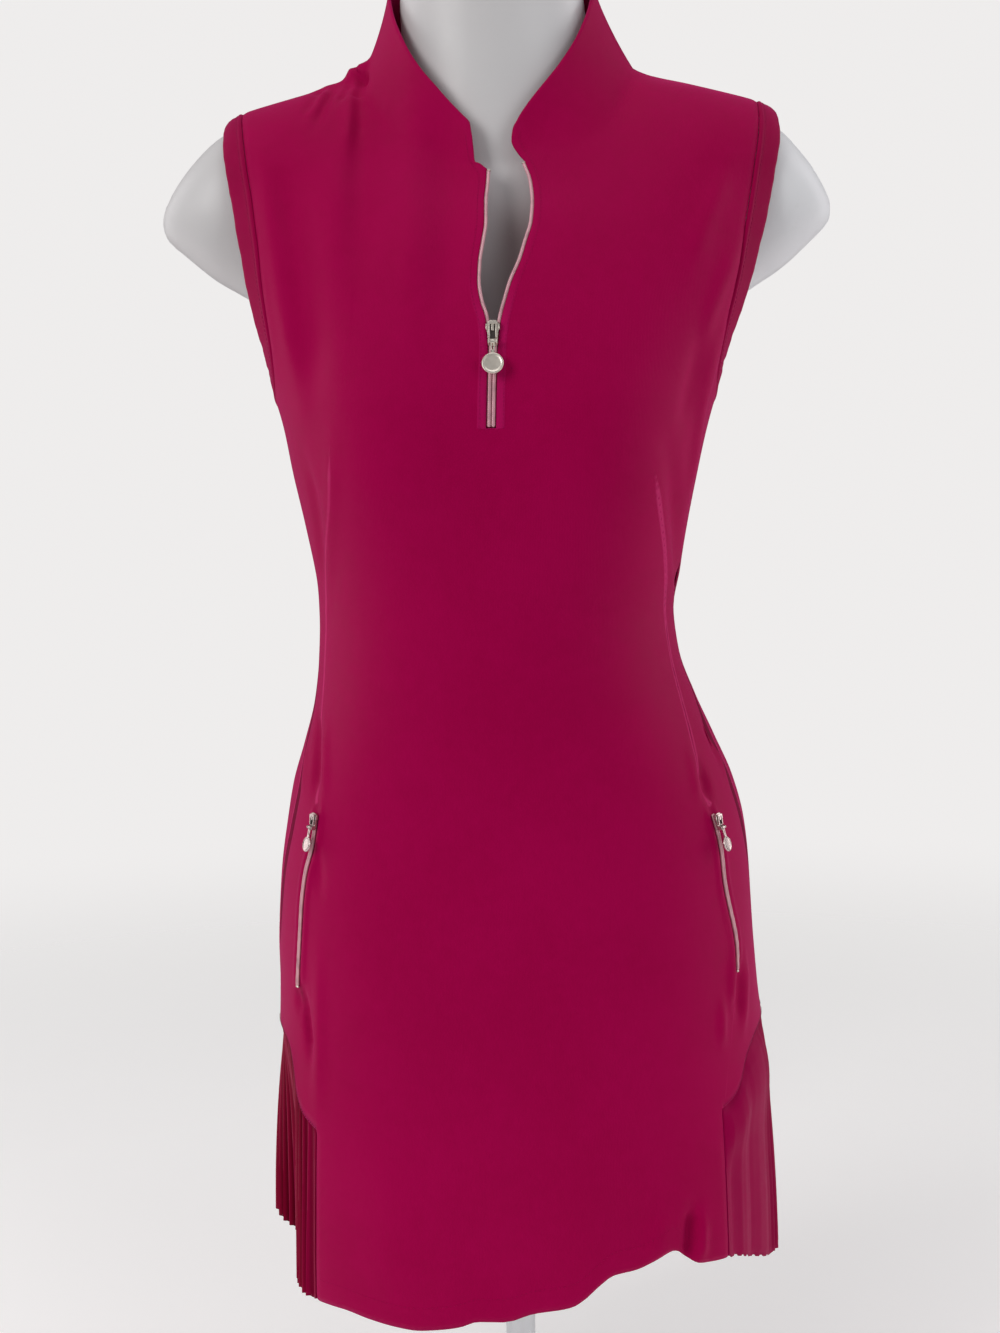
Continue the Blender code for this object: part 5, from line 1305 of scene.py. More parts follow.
def near_surface(info, target):
    """Nearest points of the fine panel, and its normals there."""
    used = np.unique(info["quads"])
    pts = info["flat"][used]
    out, nor = [], []
    for p in target:
        d = ((pts - p) ** 2).sum(1)
        near = np.argsort(d)[:6]
        w = 1 / (d[near] + 1e-9)
        w /= w.sum()
        n = (info["normal"][used[near]] * w[:, None]).sum(0)
        n /= np.linalg.norm(n)
        plane = (pts[near] * w[:, None]).sum(0)
        out.append(p + n * ((plane - p) @ n))
        nor.append(n)
    return np.array(out), np.array(nor)


left_edge, right_edge = front["slit"]
runs = []
for edge, way in ((left_edge, -1), (right_edge, 1)):
    line = densify(edge[:front["top"] - front["slot"] + 20], 0.003)
    run = np.gradient(line, axis=0)
    n0 = np.array((0, -1.0, 0.2))
    across = np.cross(run, n0)
    across /= np.linalg.norm(across, axis=1, keepdims=True)
    across *= np.sign(across[:, 0:1]) * way
    target = line + across * 0.0046
    spot, n = near_surface(front, target)
    runs.append((spot + n * 0.00045, n, False))
foot = np.stack((np.linspace(runs[0][0][0][0], runs[1][0][0][0], 12), np.full(12, -0.13),
                 np.full(12, SLOT_Z - 0.0006)), -1)
foot, n = near_surface(front, foot)
runs.append((foot + n * 0.0004, n, False))
pieces.append(stitches("zip_topstitching", runs, thread_mat, 0.0019, 0.0008, 0.00011))

# one row above the hem of the apron
rows, cols = front["grid"].shape[:2]
g = front["flat"].reshape(rows, cols, 3)
n = front["normal"].reshape(rows, cols, 3)
apron = np.nonzero(np.abs(front["kk"]) <= K_APRON - 0.1)[0]
line, normals = [], []
for c in apron:
    d = np.linalg.norm(g[:60, c] - g[0, c], axis=1)
    i = np.interp(0.016, d, np.arange(60))
    a = int(i)
    f = i - a
    line.append(g[a, c] * (1 - f) + g[a + 1, c] * f)
    normals.append(n[a, c])
pieces.append(stitches("hem_stitching", [(np.array(line) + np.array(normals) * 0.00003, np.array(normals), False)],
                       hem_thread_mat, 0.0021, 0.0012, 0.00010))

# ----------------------------------------------------------- pleated flounce


def spline(table, steps=8):
    p = [np.array(row) for row in table]
    p = [2 * p[0] - p[1]] + p + [2 * p[-1] - p[-2]]
    out = []
    for i in range(1, len(p) - 2):
        for s in range(steps):
            t = s / steps
            a, b, c, d = p[i - 1:i + 3]
            out.append(0.5 * (2 * b + (c - a) * t + (2 * a - 5 * b + 4 * c - d) * t * t + (3 * b - a - 3 * c + d) * t ** 3))
    out.append(p[-2])
    return np.array(out)


def reader(line):
    d = np.concatenate(([0], np.cumsum(np.linalg.norm(np.diff(line, axis=0), axis=1))))
    return lambda t: np.stack([np.interp(np.clip(t, 0, 1) * d[-1], d, line[:, i]) for i in range(3)], -1)


def pleats():
    g_front = front["grid"]
    g_back = back["grid"]
    kk = front["kk"]
    low = front["low"]
    left = [i for i in range(len(kk)) if kk[i] <= -K_APRON + 1e-4][::-1]
    right = [i for i in range(len(kk)) if kk[i] >= K_APRON - 1e-4]
    top = np.concatenate((g_front[low, left], g_back[0], g_front[low, right[::-1]]))
    upper, lower = reader(top), reader(spline(FLOUNCE_HEM))
    per, rows = 10, 34
    cols = PLEATS * per
    t = np.arange(cols + 1) / cols
    v = np.linspace(0, 1, rows + 1)
    down = np.array((0, 0, HANG))
    ends = {}
    column = {-1: int(np.argmin(np.abs(kk + K_APRON))), 1: int(np.argmin(np.abs(kk - K_APRON)))}
    for side in (-1, 1):
        c = column[side]
        path = g_front[:low + 1, c]
        inner = g_front[:low + 1, c + (1 if side < 0 else -1)]
        flat = path - inner
        flat[:, 2] = 0
        flat /= np.linalg.norm(flat, axis=1, keepdims=True)
        share = np.linspace(0, 1, len(path))
        edge = path + flat * HANG - np.outer(share, down)
        ends[side] = np.stack([np.interp(v, share, edge[:, i]) for i in range(3)], -1)

    def sheet(s):
        s = np.clip(s, 0, 1)
        a, b = lower(s), upper(s) - down
        grid = np.empty((len(s), rows + 1, 3))
        for r, w in enumerate(v):
            p = a + (b - a) * w * w
            p[:, 2] = a[:, 2] + (b[:, 2] - a[:, 2]) * w
            for side, e in ((-1, 0.0), (1, 1.0)):
                fade = np.exp(-((s - e) / 0.03) ** 2)[:, None]
                le, he = lower(np.array(e)), upper(np.array(e)) - down
                rest = le + (he - le) * w * w
                rest[2] = le[2] + (he[2] - le[2]) * w
                p = p + (ends[side][r] - rest) * fade
            grid[:, r] = p
        return grid

    base = sheet(t)
    run = sheet(t + 0.006) - sheet(t - 0.006)
    n = np.stack((-run[..., 1], run[..., 0], 0 * run[..., 0]), -1)
    n /= np.maximum(np.linalg.norm(n, axis=2, keepdims=True), 1e-9)
    flip = (n * (base - np.array((0, 0.02, 0)))).sum(2) < 0
    n[flip] *= -1
    rng = np.random.default_rng(11)
    size = np.repeat(rng.uniform(0.72, 1.12, PLEATS), per)
    size = np.convolve(np.append(size, size[-1]), np.ones(5) / 5, "same")
    shift = np.interp(t * PLEATS, np.arange(PLEATS + 1), rng.normal(0, 0.16, PLEATS + 1))
    phase = (t * PLEATS)[:, None] + (shift[:, None] * np.linspace(1, 0.2, rows + 1)[None])
    tri = np.abs((phase % 1.0) * 2 - 1) * 2 - 1
    wave = np.sign(tri) * (1 - (1 - np.abs(tri)) ** 1.35)
    soft = 1 - 0.95 * ease(np.clip((t - 0.865) / 0.05, 0, 1))
    depth = (PLEAT_HEM + (0.0011 - PLEAT_HEM) * v ** 0.9)[None] * (size * soft)[:, None]
    edge = np.clip(np.minimum(t, 1 - t) * PLEATS * 1.3, 0, 1)[:, None]
    p = base + n * ((wave * depth - 0.0011) * edge - 0.0004)[..., None]
    # the pleats swing a little from side to side on the way down
    sway = np.sin(t * 2 * math.pi * 7 + 0.6)[:, None] * (1 - v)[None] ** 1.4 * 0.0016
    sway *= (1 - 0.6 * ease(np.clip((t - 0.86) / 0.05, 0, 1)))[:, None]
    p += n * (sway * edge)[..., None]
    # soft folds on the right, where the pleats lie open and spring out under the seam
    for at, low_at, amount, width in ((0.988, 0.985, -0.0012, 0.007), (0.972, 0.966, 0.0012, 0.012),
                                      (0.948, 0.942, -0.0020, 0.009), (0.920, 0.916, 0.0010, 0.012)):
        line = low_at + (at - low_at) * v
        p += n * (np.exp(-((t[:, None] - line[None]) / width) ** 2) * (0.45 + 0.55 * (1 - v))[None]
                  * amount * edge)[..., None]
    spring = 0.0052 * np.exp(-((v - 0.82) / 0.17) ** 2) * np.clip((1 - v) / 0.06, 0, 1)
    p += n * (ease(np.clip((t - 0.86) / 0.04, 0, 1))[:, None] * spring[None] * edge)[..., None]
    # ridge share, 0 in a valley and 1 on a crest, from which the pleat material paints shade and highlights
    ridge = (wave * 0.5 + 0.5) * np.minimum(1.0, size * soft * 1.15)[:, None] * np.ones_like(v)[None]
    # uneven hem
    p[..., 2] += (np.where(tri[:, :1] > 0, 0.0006, -0.0006) * (1 - v)[None] ** 3)
    # the top is sewn in behind the panels, and each end behind the apron's edge
    seam, out_top = upper(t), n[:, -1]
    tuck = [p, (seam - out_top * 0.0023)[:, None], (seam - out_top * 0.0024 + np.array((0, 0, 0.0045)))[:, None]]
    p = np.concatenate(tuck, axis=1)
    n = np.concatenate((n, n[:, -1:], n[:, -1:]), axis=1)
    ridge = np.pad(ridge, ((2, 2), (0, 2)))
    rows += 2
    sides = {}
    for side in (-1, 1):
        c = column[side]
        share = np.linspace(0, 1, low + 1)
        path, inner = g_front[:low + 1, c], g_front[:low + 1, c + (1 if side < 0 else -1)]
        way = path - inner
        way[:, 2] = 0
        way /= np.linalg.norm(way, axis=1, keepdims=True)
        face = front["normal"].reshape(g_front.shape)[:low + 1, c]
        strips = []
        for off, deep in ((0.0, 0.0028), (-0.0040, 0.0027)):
            line = path + way * off - face * deep
            line = np.stack([np.interp(v, share, line[:, i]) for i in range(3)], -1)
            strips.append(np.vstack((line, line[-1:] + (0, 0, 0.0012), line[-1:] + (0, 0, 0.0056))))
        sides[side] = strips
    p = np.concatenate(([sides[-1][1]], [sides[-1][0]], p, [sides[1][0]], [sides[1][1]]))
    n = np.concatenate((n[:1], n[:1], n, n[-1:], n[-1:]))
    cols += 4
    flat = p.reshape(-1, 3)
    m = rows + 1
    i, r = np.meshgrid(np.arange(cols), np.arange(rows), indexing="ij")
    a = (i * m + r).ravel()
    quads = np.stack((a, a + m, a + m + 1, a + 1), -1)
    normal = vertex_normals(flat, quads)
    if (normal * n.reshape(-1, 3)).sum() < 0:
        quads = quads[:, ::-1]
    obj = new_object("pleated_flounce", flat, quads, pleat_mat)
    obj.data.set_sharp_from_angle(angle=math.radians(70))
    along = np.repeat(np.concatenate(([0], np.cumsum(np.linalg.norm(np.diff(p[:, 0], axis=0), axis=1)))), m)
    add_uv(obj, np.stack((along, flat[:, 2]), -1))
    place_on = np.repeat(np.arange(cols + 1) / cols, m)
    # share of the painted lighter tone: full where the pleats lie open on the right, and part of it at the left end
    painted_light_share = ease(np.clip((place_on - 0.80) / 0.12, 0, 1)) + 0.42 * (1 - ease(np.clip((place_on - 0.014) / 0.020, 0, 1)))
    add_float(obj, "open", painted_light_share)
    add_float(obj, "ridge", ridge.ravel())
    solidify(obj, 0.0006, -1.0)
    return obj, p, n


flounce, pleat_grid, pleat_out = pleats()
pieces.append(flounce)
kk, low = front["kk"], front["low"]
left = [i for i in range(len(kk)) if kk[i] <= -K_APRON + 1e-4][::-1]
right = [i for i in range(len(kk)) if kk[i] >= K_APRON - 1e-4][::-1]
line, normals = [], []
for which, store in (("flat", line), ("normal", normals)):
    f, b = (info[which].reshape(info["grid"].shape) for info in (front, back))
    store.append(np.concatenate((f[low, left], b[0], f[low, right])))
line, normals = line[0], normals[0]
pieces.append(stitches("flounce_stitching", [(line + normals * 0.00015 + np.array((0, 0, 0.0011)), normals, False)],
                       seam_thread_mat, 0.0010, 0.0011, 0.00026))

# ----------------------------------------------------------- zips


class Pile:
    """Several closed solids in one mesh."""

    def __init__(self):
        self.points, self.faces, self.slots = [], [], []

    def add(self, points, faces, slot=0):
        base = len(self.points)
        self.points += [tuple(float(c) for c in p) for p in points]
        self.faces += [tuple(int(i) + base for i in f) for f in faces]
        self.slots += [slot] * len(faces)

    def block(self, x0, x1, y0, y1, z0, z1, slot=0):
        p = [(x, y, z) for z in (z0, z1) for y in (y0, y1) for x in (x0, x1)]
        self.add(p, ((0, 2, 3, 1), (4, 5, 7, 6), (0, 1, 5, 4), (1, 3, 7, 5), (3, 2, 6, 7), (2, 0, 4, 6)), slot)

    def prism(self, outline, low, high, axis, slot=0):
        """Outline in the two other axes, pushed along axis (0 x, 1 y, 2 z)."""
        n = len(outline)
        p = []
        for at in (low, high):
            for a, b in outline:
                q = [a, b]
                q.insert(axis, at)
                p.append(q)
        faces = [tuple(range(n)), tuple(reversed(range(n, 2 * n)))]
        faces += [(i, i + n, (i + 1) % n + n, (i + 1) % n) for i in range(n)]
        area = sum(outline[i][0] * outline[(i + 1) % n][1] - outline[(i + 1) % n][0] * outline[i][1] for i in range(n))
        if (area > 0) != (axis == 1):
            faces = [tuple(reversed(f)) for f in faces]
        self.add(p, faces, slot)

    def build(self, name, mats, smooth=True, angle=None, matrix=None, bevel=None):
        mesh = bpy.data.meshes.new(name)
        mesh.from_pydata(self.points, [], self.faces)
        for mat in mats:
            mesh.materials.append(mat)
        mesh.polygons.foreach_set("material_index", self.slots)
        if smooth:
            mesh.shade_smooth()
            if angle:
                mesh.set_sharp_from_angle(angle=math.radians(angle))
        obj = bpy.data.objects.new(name, mesh)
        bpy.context.scene.collection.objects.link(obj)
        if matrix is not None:
            obj.matrix_world = matrix
        if bevel:
            b = obj.modifiers.new("edge", "BEVEL")
            b.width = bevel
            b.segments = 2
            b.limit_method = "ANGLE"
            b.angle_limit = math.radians(40)
        return obj


def cord(pile, line, normals, half_w, half_h, pitch=0.0013, depth=0.16, sides=10, slot=0):
    """Ribbed zip cord swept along a line."""
    d = np.concatenate(([0], np.cumsum(np.linalg.norm(np.diff(line, axis=0), axis=1))))
    count = max(8, int(d[-1] / (pitch / 5)) + 1)
    t = np.linspace(0, d[-1], count)
    c = np.stack([np.interp(t, d, line[:, i]) for i in range(3)], -1)
    n = np.stack([np.interp(t, d, normals[:, i]) for i in range(3)], -1)
    for _ in range(5):
        c[1:-1] = (c[:-2] + 2 * c[1:-1] + c[2:]) / 4
    run = np.gradient(c, axis=0)
    run /= np.linalg.norm(run, axis=1, keepdims=True)
    across = np.cross(run, n)
    across /= np.linalg.norm(across, axis=1, keepdims=True)
    up = np.cross(across, run)
    end = np.clip(np.minimum(t, d[-1] - t) / 0.0008, 0.05, 1) ** 0.5
    r = (1 - depth * np.abs(np.cos(math.pi * t / pitch)) ** 3) * end
    points = []
    for i in range(count):
        for j in range(sides):
            a = 2 * math.pi * j / sides
            points.append(c[i] + across[i] * math.cos(a) * half_w * r[i] + up[i] * math.sin(a) * half_h * r[i])
    faces = []
    for i in range(count - 1):
        for j in range(sides):
            k = (j + 1) % sides
            faces.append((i * sides + j, i * sides + k, (i + 1) * sides + k, (i + 1) * sides + j))
    faces.append(tuple(reversed(range(sides))))
    faces.append(tuple(range((count - 1) * sides, count * sides)))
    q = np.array(points)[list(faces[0])]
    if np.cross(q[2] - q[0], q[3] - q[1]) @ (q.mean(0) - c[0]) < 0:
        faces = [tuple(reversed(f)) for f in faces]
    pile.add(points, faces, slot)


def part_of(line, lo, hi):
    """The stretch of a rising line between two heights."""
    z = np.linspace(lo, hi, max(4, int(abs(hi - lo) / 0.002)))
    return np.stack([np.interp(z, line[:, 2], line[:, i]) for i in range(3)], -1)


JOIN = 0.8470
slider_of = {
    # pin, its axis, the slider's and the tab's other two axes, size
    "front": ((-0.00182, -0.127127, 0.834048), (-0.99999, 0.0044, -0.00092), (-0.0045, -0.9712, 0.2382),
              (0.0002, 0.2382, 0.9712), (-0.0044, -0.9349, 0.3548), (0.0007, 0.3548, 0.935), 1.0),
    "pocket_left": ((-0.13598, -0.079117, 0.509268), (-0.68981, 0.72108, 0.06491), (-0.7129, -0.6921, 0.1125),
                    (0.126, 0.0313, 0.9915), (-0.6923, -0.6832, 0.2325), (0.212, 0.1154, 0.9704), 0.85),
    "pocket_right": ((0.147587, -0.072903, 0.504872), (-0.63028, -0.77235, -0.07886), (0.759, -0.6343, 0.1469),
                     (-0.1635, 0.0327, 0.986), (0.7334, -0.6256, 0.2659), (-0.2547, 0.1098, 0.9608), 0.85),
}

edges = {-1: left_edge, 1: right_edge}
mid = {}
for side in (-1, 1):
    mid[side] = part_of(edges[side], SLOT_Z, 0.985)
normal_front = np.array((0.0, -0.975, 0.22))

# closed chain in its slot, on a narrow tape
pile = Pile()
zs = np.linspace(SLOT_Z + 0.0006, JOIN, 30)
a, b = part_of(edges[-1], SLOT_Z, 0.86), part_of(edges[1], SLOT_Z, 0.86)
for side in (-1, 1):
    line = []
    for z in zs:
        l = np.array([np.interp(z, a[:, 2], a[:, i]) for i in range(3)])
        r = np.array([np.interp(z, b[:, 2], b[:, i]) for i in range(3)])
        m = (l + r) / 2
        line.append(m + np.array((side * 0.00138, 0, 0)) - normal_front * 0.0003)
    cord(pile, np.array(line), np.tile(normal_front, (len(zs), 1)), 0.00132, 0.0010)
chain_closed = pile.build("zip_coil_closed", [coil_mat])
tape = Pile()
l = np.stack([np.interp(zs, a[:, 2], a[:, i]) for i in range(3)], -1)
r = np.stack([np.interp(zs, b[:, 2], b[:, i]) for i in range(3)], -1)
back_off = -normal_front * 0.0009
pts = np.concatenate((l + (0.0002, 0, 0) + back_off, r - (0.0002, 0, 0) + back_off,
                      r - (0.0002, 0, 0) + back_off * 1.6, l + (0.0002, 0, 0) + back_off * 1.6))
n = len(zs)
faces = []
for j in range(4):
    k = (j + 1) % 4
    faces += [(j * n + i, k * n + i, k * n + i + 1, j * n + i + 1) for i in range(n - 1)]
faces += [(0, 3 * n, 2 * n, n), (n - 1, 2 * n - 1, 3 * n - 1, 4 * n - 1)]
tape.add(pts, faces)
tape_closed = tape.build("zip_tape_closed", [thread_mat], angle=40)
chains = [(chain_closed, ("zip_chain_closed",)), (tape_closed, ())]

# open sides of the zip, each with its stop at the top
for side, name in ((-1, "left"), (1, "right")):
    pile = Pile()
    top = SLIT_TOP[side] - 0.0015
    line = part_of(edges[side], JOIN - 0.0010, top)
    run = np.gradient(line, axis=0)
    across = np.cross(run, normal_front)
    across /= np.linalg.norm(across, axis=1, keepdims=True)
    across *= np.sign(across[:, 0:1]) * -side
    centre = line + across * 0.00125 - normal_front * 0.0002
    n = np.tile(normal_front, (len(line), 1))
    cord(pile, centre, n, 0.00118, 0.0011)
    end, way = centre[-1], centre[-1] - centre[-4]
    way /= np.linalg.norm(way)
    pile2 = Pile()
    cord(pile2, np.array([end - way * 0.0006, end + way * 0.0002, end + way * 0.0010]), n[:3], 0.0015, 0.0013, 0.01, 0.0, 8)
    pile.add(pile2.points, pile2.faces, 1)
    chains.append((pile.build("zip_coil_" + name, [coil_mat, zip_mat]), ("zip_chain_" + name,)))

# pocket zips
for side, name in ((-1, "left"), (1, "right")):
    pile = Pile()
    rows = np.array(POCKET[side])[:, ::-1]
    flat = densify(rows, 0.003)
    spot, n = near_surface(front, on_front(flat[:, 0], flat[:, 1]))
    kept = np.linalg.norm(spot - spot[0], axis=1) > 0.0042
    spot, n = spot[kept], n[kept]
    for _ in range(4):
        n[1:-1] = (n[:-2] + 2 * n[1:-1] + n[2:]) / 4
    n /= np.linalg.norm(n, axis=1, keepdims=True)
    run = np.gradient(spot, axis=0)
    across = np.cross(run, n)
    across /= np.linalg.norm(across, axis=1, keepdims=True)
    for way in (-1, 1):
        cord(pile, spot + n * 0.0010 + across * way * 0.00082, n, 0.00088, 0.0010, 0.0012, 0.14, 9)
    end, way = spot[-1] + n[-1] * 0.0009, spot[-1] - spot[-3]
    way /= np.linalg.norm(way)
    pile2 = Pile()
    cord(pile2, np.array([end - way * 0.0004, end + way * 0.0006, end + way * 0.0016]), n[-3:], 0.0019, 0.0010, 0.01, 0.0, 8)
    pile.add(pile2.points, pile2.faces, 1)
    chains.append((pile.build("pocket_coil_" + name, [coil_mat, zip_mat]), ("pocket_chain_" + name,)))


def axes(x, y, z, at):
    m = Matrix((Vector(x).normalized(), Vector(y).normalized(), Vector(z).normalized())).transposed().to_4x4()
    m.translation = Vector(at)
    return m


def arc(cx, cy, r, start, stop, steps):
    out = []
    for i in range(steps + 1):
        a = math.radians(start + (stop - start) * i / steps)
        out.append((cx + r * math.cos(a), cy + r * math.sin(a)))
    return out


def slider(name, matrix, s, reach=1.0):
    """Slider: shield plate, bridge with a thin dark plate under it as painted shade in its recess, and the lugs that
    hold the pin.
    """
    p = Pile()
    k = s * reach           # along the zip, above the pin
    half = ((-0.0020, 0.0021), (-0.0012, 0.0027), (0.0020, 0.0031), (0.0065, 0.0034), (0.0092, 0.0040),
            (0.0118, 0.0041), (0.0136, 0.0035), (0.0147, 0.0022), (0.0150, 0.0010))
    outline = [(x * s, z * (k if z > 0 else s)) for z, x in half]
    outline += [(-x * s, z * (k if z > 0 else s)) for z, x in reversed(half)]
    p.prism(outline, -0.0036 * s, -0.0021 * s, 1)
    for side in (-1, 1):
        x0, x1 = sorted((side * 0.0017 * s, side * 0.0026 * s))
        p.block(x0, x1, -0.0022 * s, -0.0007 * s, 0.0030 * k, 0.0132 * k)
        lug = [(-0.0022, -0.0019), (-0.0022, 0.0019)] + [(y, z) for z, y in arc(0, 0.0, 0.0013, 20, 160, 8)]
        lug = [(y * s, z * s) for y, z in lug]
        x0, x1 = sorted((side * 0.0022 * s, side * 0.0031 * s))
        p.prism(lug, x0, x1, 0)
        x0, x1 = sorted((side * 0.0037 * s, side * 0.0045 * s))
        p.block(x0, x1, -0.0037 * s, -0.0016 * s, 0.0088 * k, 0.0124 * k)
    p.block(-0.0027 * s, 0.0027 * s, -0.0022 * s, -0.0004 * s, 0.0120 * k, 0.0138 * k)
    p.block(-0.0008 * s, 0.0008 * s, -0.0022 * s, -0.0008 * s, 0.0078 * k, 0.0122 * k)
    # a thin dark plate under the bridge, painted shade for its recess
    p.block(-0.0018 * s, 0.0018 * s, -0.0022 * s, -0.0019 * s, 0.0026 * k, 0.0122 * k, 1)
    pin = [(y, z) for z, y in arc(0, 0, 0.00042 * s, 0, 330, 11)]
    p.prism(pin, -0.0023 * s, 0.0023 * s, 0)
    return p.build(name, [zip_mat, recess_shade_mat], True, 35, matrix, 0.00028 * s)


def tab(name, matrix, s, twist=0.0, radius=1.0):
    """Bare round tab with a raised rim, on a short link with an eye; twist turns the round part aside."""
    p = Pile()
    outer, bore, half, sides = 0.00150 * s, 0.00085 * s, 0.0013 * s, 20
    pts, faces = [], []
    for j, (r, x) in enumerate(((outer, -half), (outer, half), (bore, half), (bore, -half))):
        for i in range(sides):
            a = 2 * math.pi * i / sides
            pts.append((x, r * math.cos(a), r * math.sin(a)))
    for j in range(4):
        k = (j + 1) % 4
        for i in range(sides):
            m = (i + 1) % sides
            faces.append((j * sides + i, k * sides + i, k * sides + m, j * sides + m))
    q = np.array(pts)[list(faces[0])]
    if np.cross(q[2] - q[0], q[3] - q[1])[1] * q.mean(0)[1] < 0:
        faces = [tuple(reversed(f)) for f in faces]
    p.add(pts, faces)
    for side in (-1, 1):
        x0, x1 = sorted((side * 0.00045 * s, side * 0.00130 * s))
        p.block(x0, x1, -0.00055 * s, 0.00055 * s, -0.0084 * s, -0.0011 * s)
    p.block(-0.0013 * s, 0.0013 * s, -0.00055 * s, 0.00055 * s, -0.0086 * s, -0.0058 * s)
    profile = ((0.0, 0.00040), (0.0046, 0.00040), (0.0055, 0.00046), (0.0059, 0.00070), (0.0064, 0.00076),
               (0.0069, 0.00062), (0.0071, 0.00030))
    profile = profile + tuple((r, -y) for r, y in reversed(profile))
    sides = 56
    pts, faces = [], []
    for r, y in profile:
        for i in range(sides):
            a = 2 * math.pi * i / sides
            pts.append((r * radius * s * math.cos(a), y * s, (-0.0077 - 0.0071 * radius + r * radius * math.sin(a)) * s))
    for j in range(len(profile) - 1):
        for i in range(sides):
            m = (i + 1) % sides
            f = (j * sides + i, j * sides + m, (j + 1) * sides + m, (j + 1) * sides + i)
            if j == 0:
                f = (0, (j + 1) * sides + m, (j + 1) * sides + i)
            elif j == len(profile) - 2:
                f = (j * sides + i, j * sides + m, (j + 1) * sides)
            faces.append(f)
    used = sorted({i for f in faces for i in f})
    index = {v: i for i, v in enumerate(used)}
    pts = [pts[i] for i in used]
    faces = [tuple(index[i] for i in f) for f in faces]
    q = np.array([pts[i] for i in faces[sides // 2]])
    if np.cross(q[1] - q[0], q[2] - q[0])[1] < 0:
        faces = [tuple(reversed(f)) for f in faces]
    p.add(pts, faces)
    if twist:
        turned = []
        for x, y, z in p.points:
            a = math.radians(twist) * ease(min(1.0, max(0.0, (-z / s - 0.0018) / 0.0050)))
            turned.append((x * math.cos(a) - y * math.sin(a), x * math.sin(a) + y * math.cos(a), z))
        p.points = turned
    return p.build(name, [zip_mat], True, 35, matrix, 0.00018 * s)


hardware = []
for name, body in (("front", "front_pull"), ("pocket_left", "pocket_pull_left"), ("pocket_right", "pocket_pull_right")):
    at, x, sy, sz, ty, tz, s = slider_of[name]
    cad = {"front": "front_slider", "pocket_left": "pocket_slider_left", "pocket_right": "pocket_slider_right"}[name]
    small = name != "front"
    made = slider(name + "_zip_slider", axes(x, sy, sz, at), s, 0.80 if small else 1.0)
    twist = {"front": 0.0, "pocket_left": -10.0, "pocket_right": 10.0}[name]
    pull = tab(name + "_zip_tab", axes(x, ty, tz, at), s, twist, 0.86 if small else 1.0)
    if small:
        made.data.materials[0] = pull.data.materials[0] = pocket_mat
    hardware += [(made, cad, "dress"), (pull, body, body)]

# ----------------------------------------------------------- the form


def resample(rows, step):
    lo, hi = rows[0][0], rows[-1][0]
    keys = np.linspace(lo, hi, max(3, int(round((hi - lo) / step)) + 1))
    return [[float(k)] + [float(curve(rows, c, float(k))) for c in range(1, len(rows[0]))] for k in keys]


def lofted(pile, rings, sides):
    middle = SEAM_Y * 0.5
    a = np.arange(sides) * 2 * math.pi / sides
    s, c = np.sin(a), np.cos(a)
    points = []
    for z, cx, w, f, b, n in rings:
        x = cx + w * np.sign(s) * np.abs(s) ** (2 / n)
        m = np.abs(c) ** (2 / n)
        y = np.where(c >= 0, middle - (f + middle) * m, middle + (b - middle) * m)
        points += list(np.stack((x, y, np.full(sides, z)), -1))
    faces = []
    for j in range(len(rings) - 1):
        for i in range(sides):
            k = (i + 1) % sides
            faces.append((j * sides + i, j * sides + k, (j + 1) * sides + k, (j + 1) * sides + i))
    faces.append(tuple(reversed(range(sides))))
    faces.append(tuple(range((len(rings) - 1) * sides, len(rings) * sides)))
    pile.add(points, faces)


pile = Pile()
rings = []
for z in (FORM_BOTTOM, 0.32, 0.345, 0.38, 0.43, 0.48, 0.53, 0.58, 0.62, 0.66, 0.70, 0.745):
    clear = FORM_CLEAR + max(0.0, 0.36 - z) * 0.25
    rings.append((z, float(body_cx(z)), float(body_a(z)) - clear, float(body_front(z)) - clear,
                  float(body_back(z)) - clear, float(body_n(z))))
for z, w, f, b in TORSO:
    rings.append((z, float(body_cx(z)), w, f, b, 2.0 + 0.4 * max(0.0, min(1.0, (0.95 - z) / 0.15))))
lofted(pile, resample(rings, 0.009), 96)
rings = [(z, -0.0035 * max(0.0, min(1.0, (z - 1.03) / 0.05)), w, f, b, 2.0) for z, w, f, b in NECK]
lofted(pile, resample(rings, 0.006), 72)
for side in (-1, 1):
    rows = resample(STUB, 0.004)
    sides = 48
    points, faces = [], []
    for x, zc, hz, hy in rows:
        for i in range(sides):
            a = 2 * math.pi * i / sides
            points.append((side * x - 0.004 * max(0.0, (x - 0.13) / 0.1), SEAM_Y * 0.6 + hy * math.sin(a), zc + hz * math.cos(a)))
    for j in range(len(rows) - 1):
        for i in range(sides):
            k = (i + 1) % sides
            faces.append((j * sides + i, (j + 1) * sides + i, (j + 1) * sides + k, j * sides + k))
    faces.append(tuple(range(sides)))
    faces.append(tuple(reversed(range((len(rows) - 1) * sides, len(rows) * sides))))
    if side > 0:
        faces = [tuple(reversed(f)) for f in faces]
    pile.add(points, faces)
form = pile.build("dress_form_shell", [shell_mat])
remesh = form.modifiers.new("one skin", "REMESH")
remesh.mode = "VOXEL"
remesh.voxel_size = 0.0046
remesh.use_smooth_shade = True
ease_skin = form.modifiers.new("ease", "SMOOTH")
ease_skin.factor = 0.5
ease_skin.iterations = 7

# ----------------------------------------------------------- what stands for what

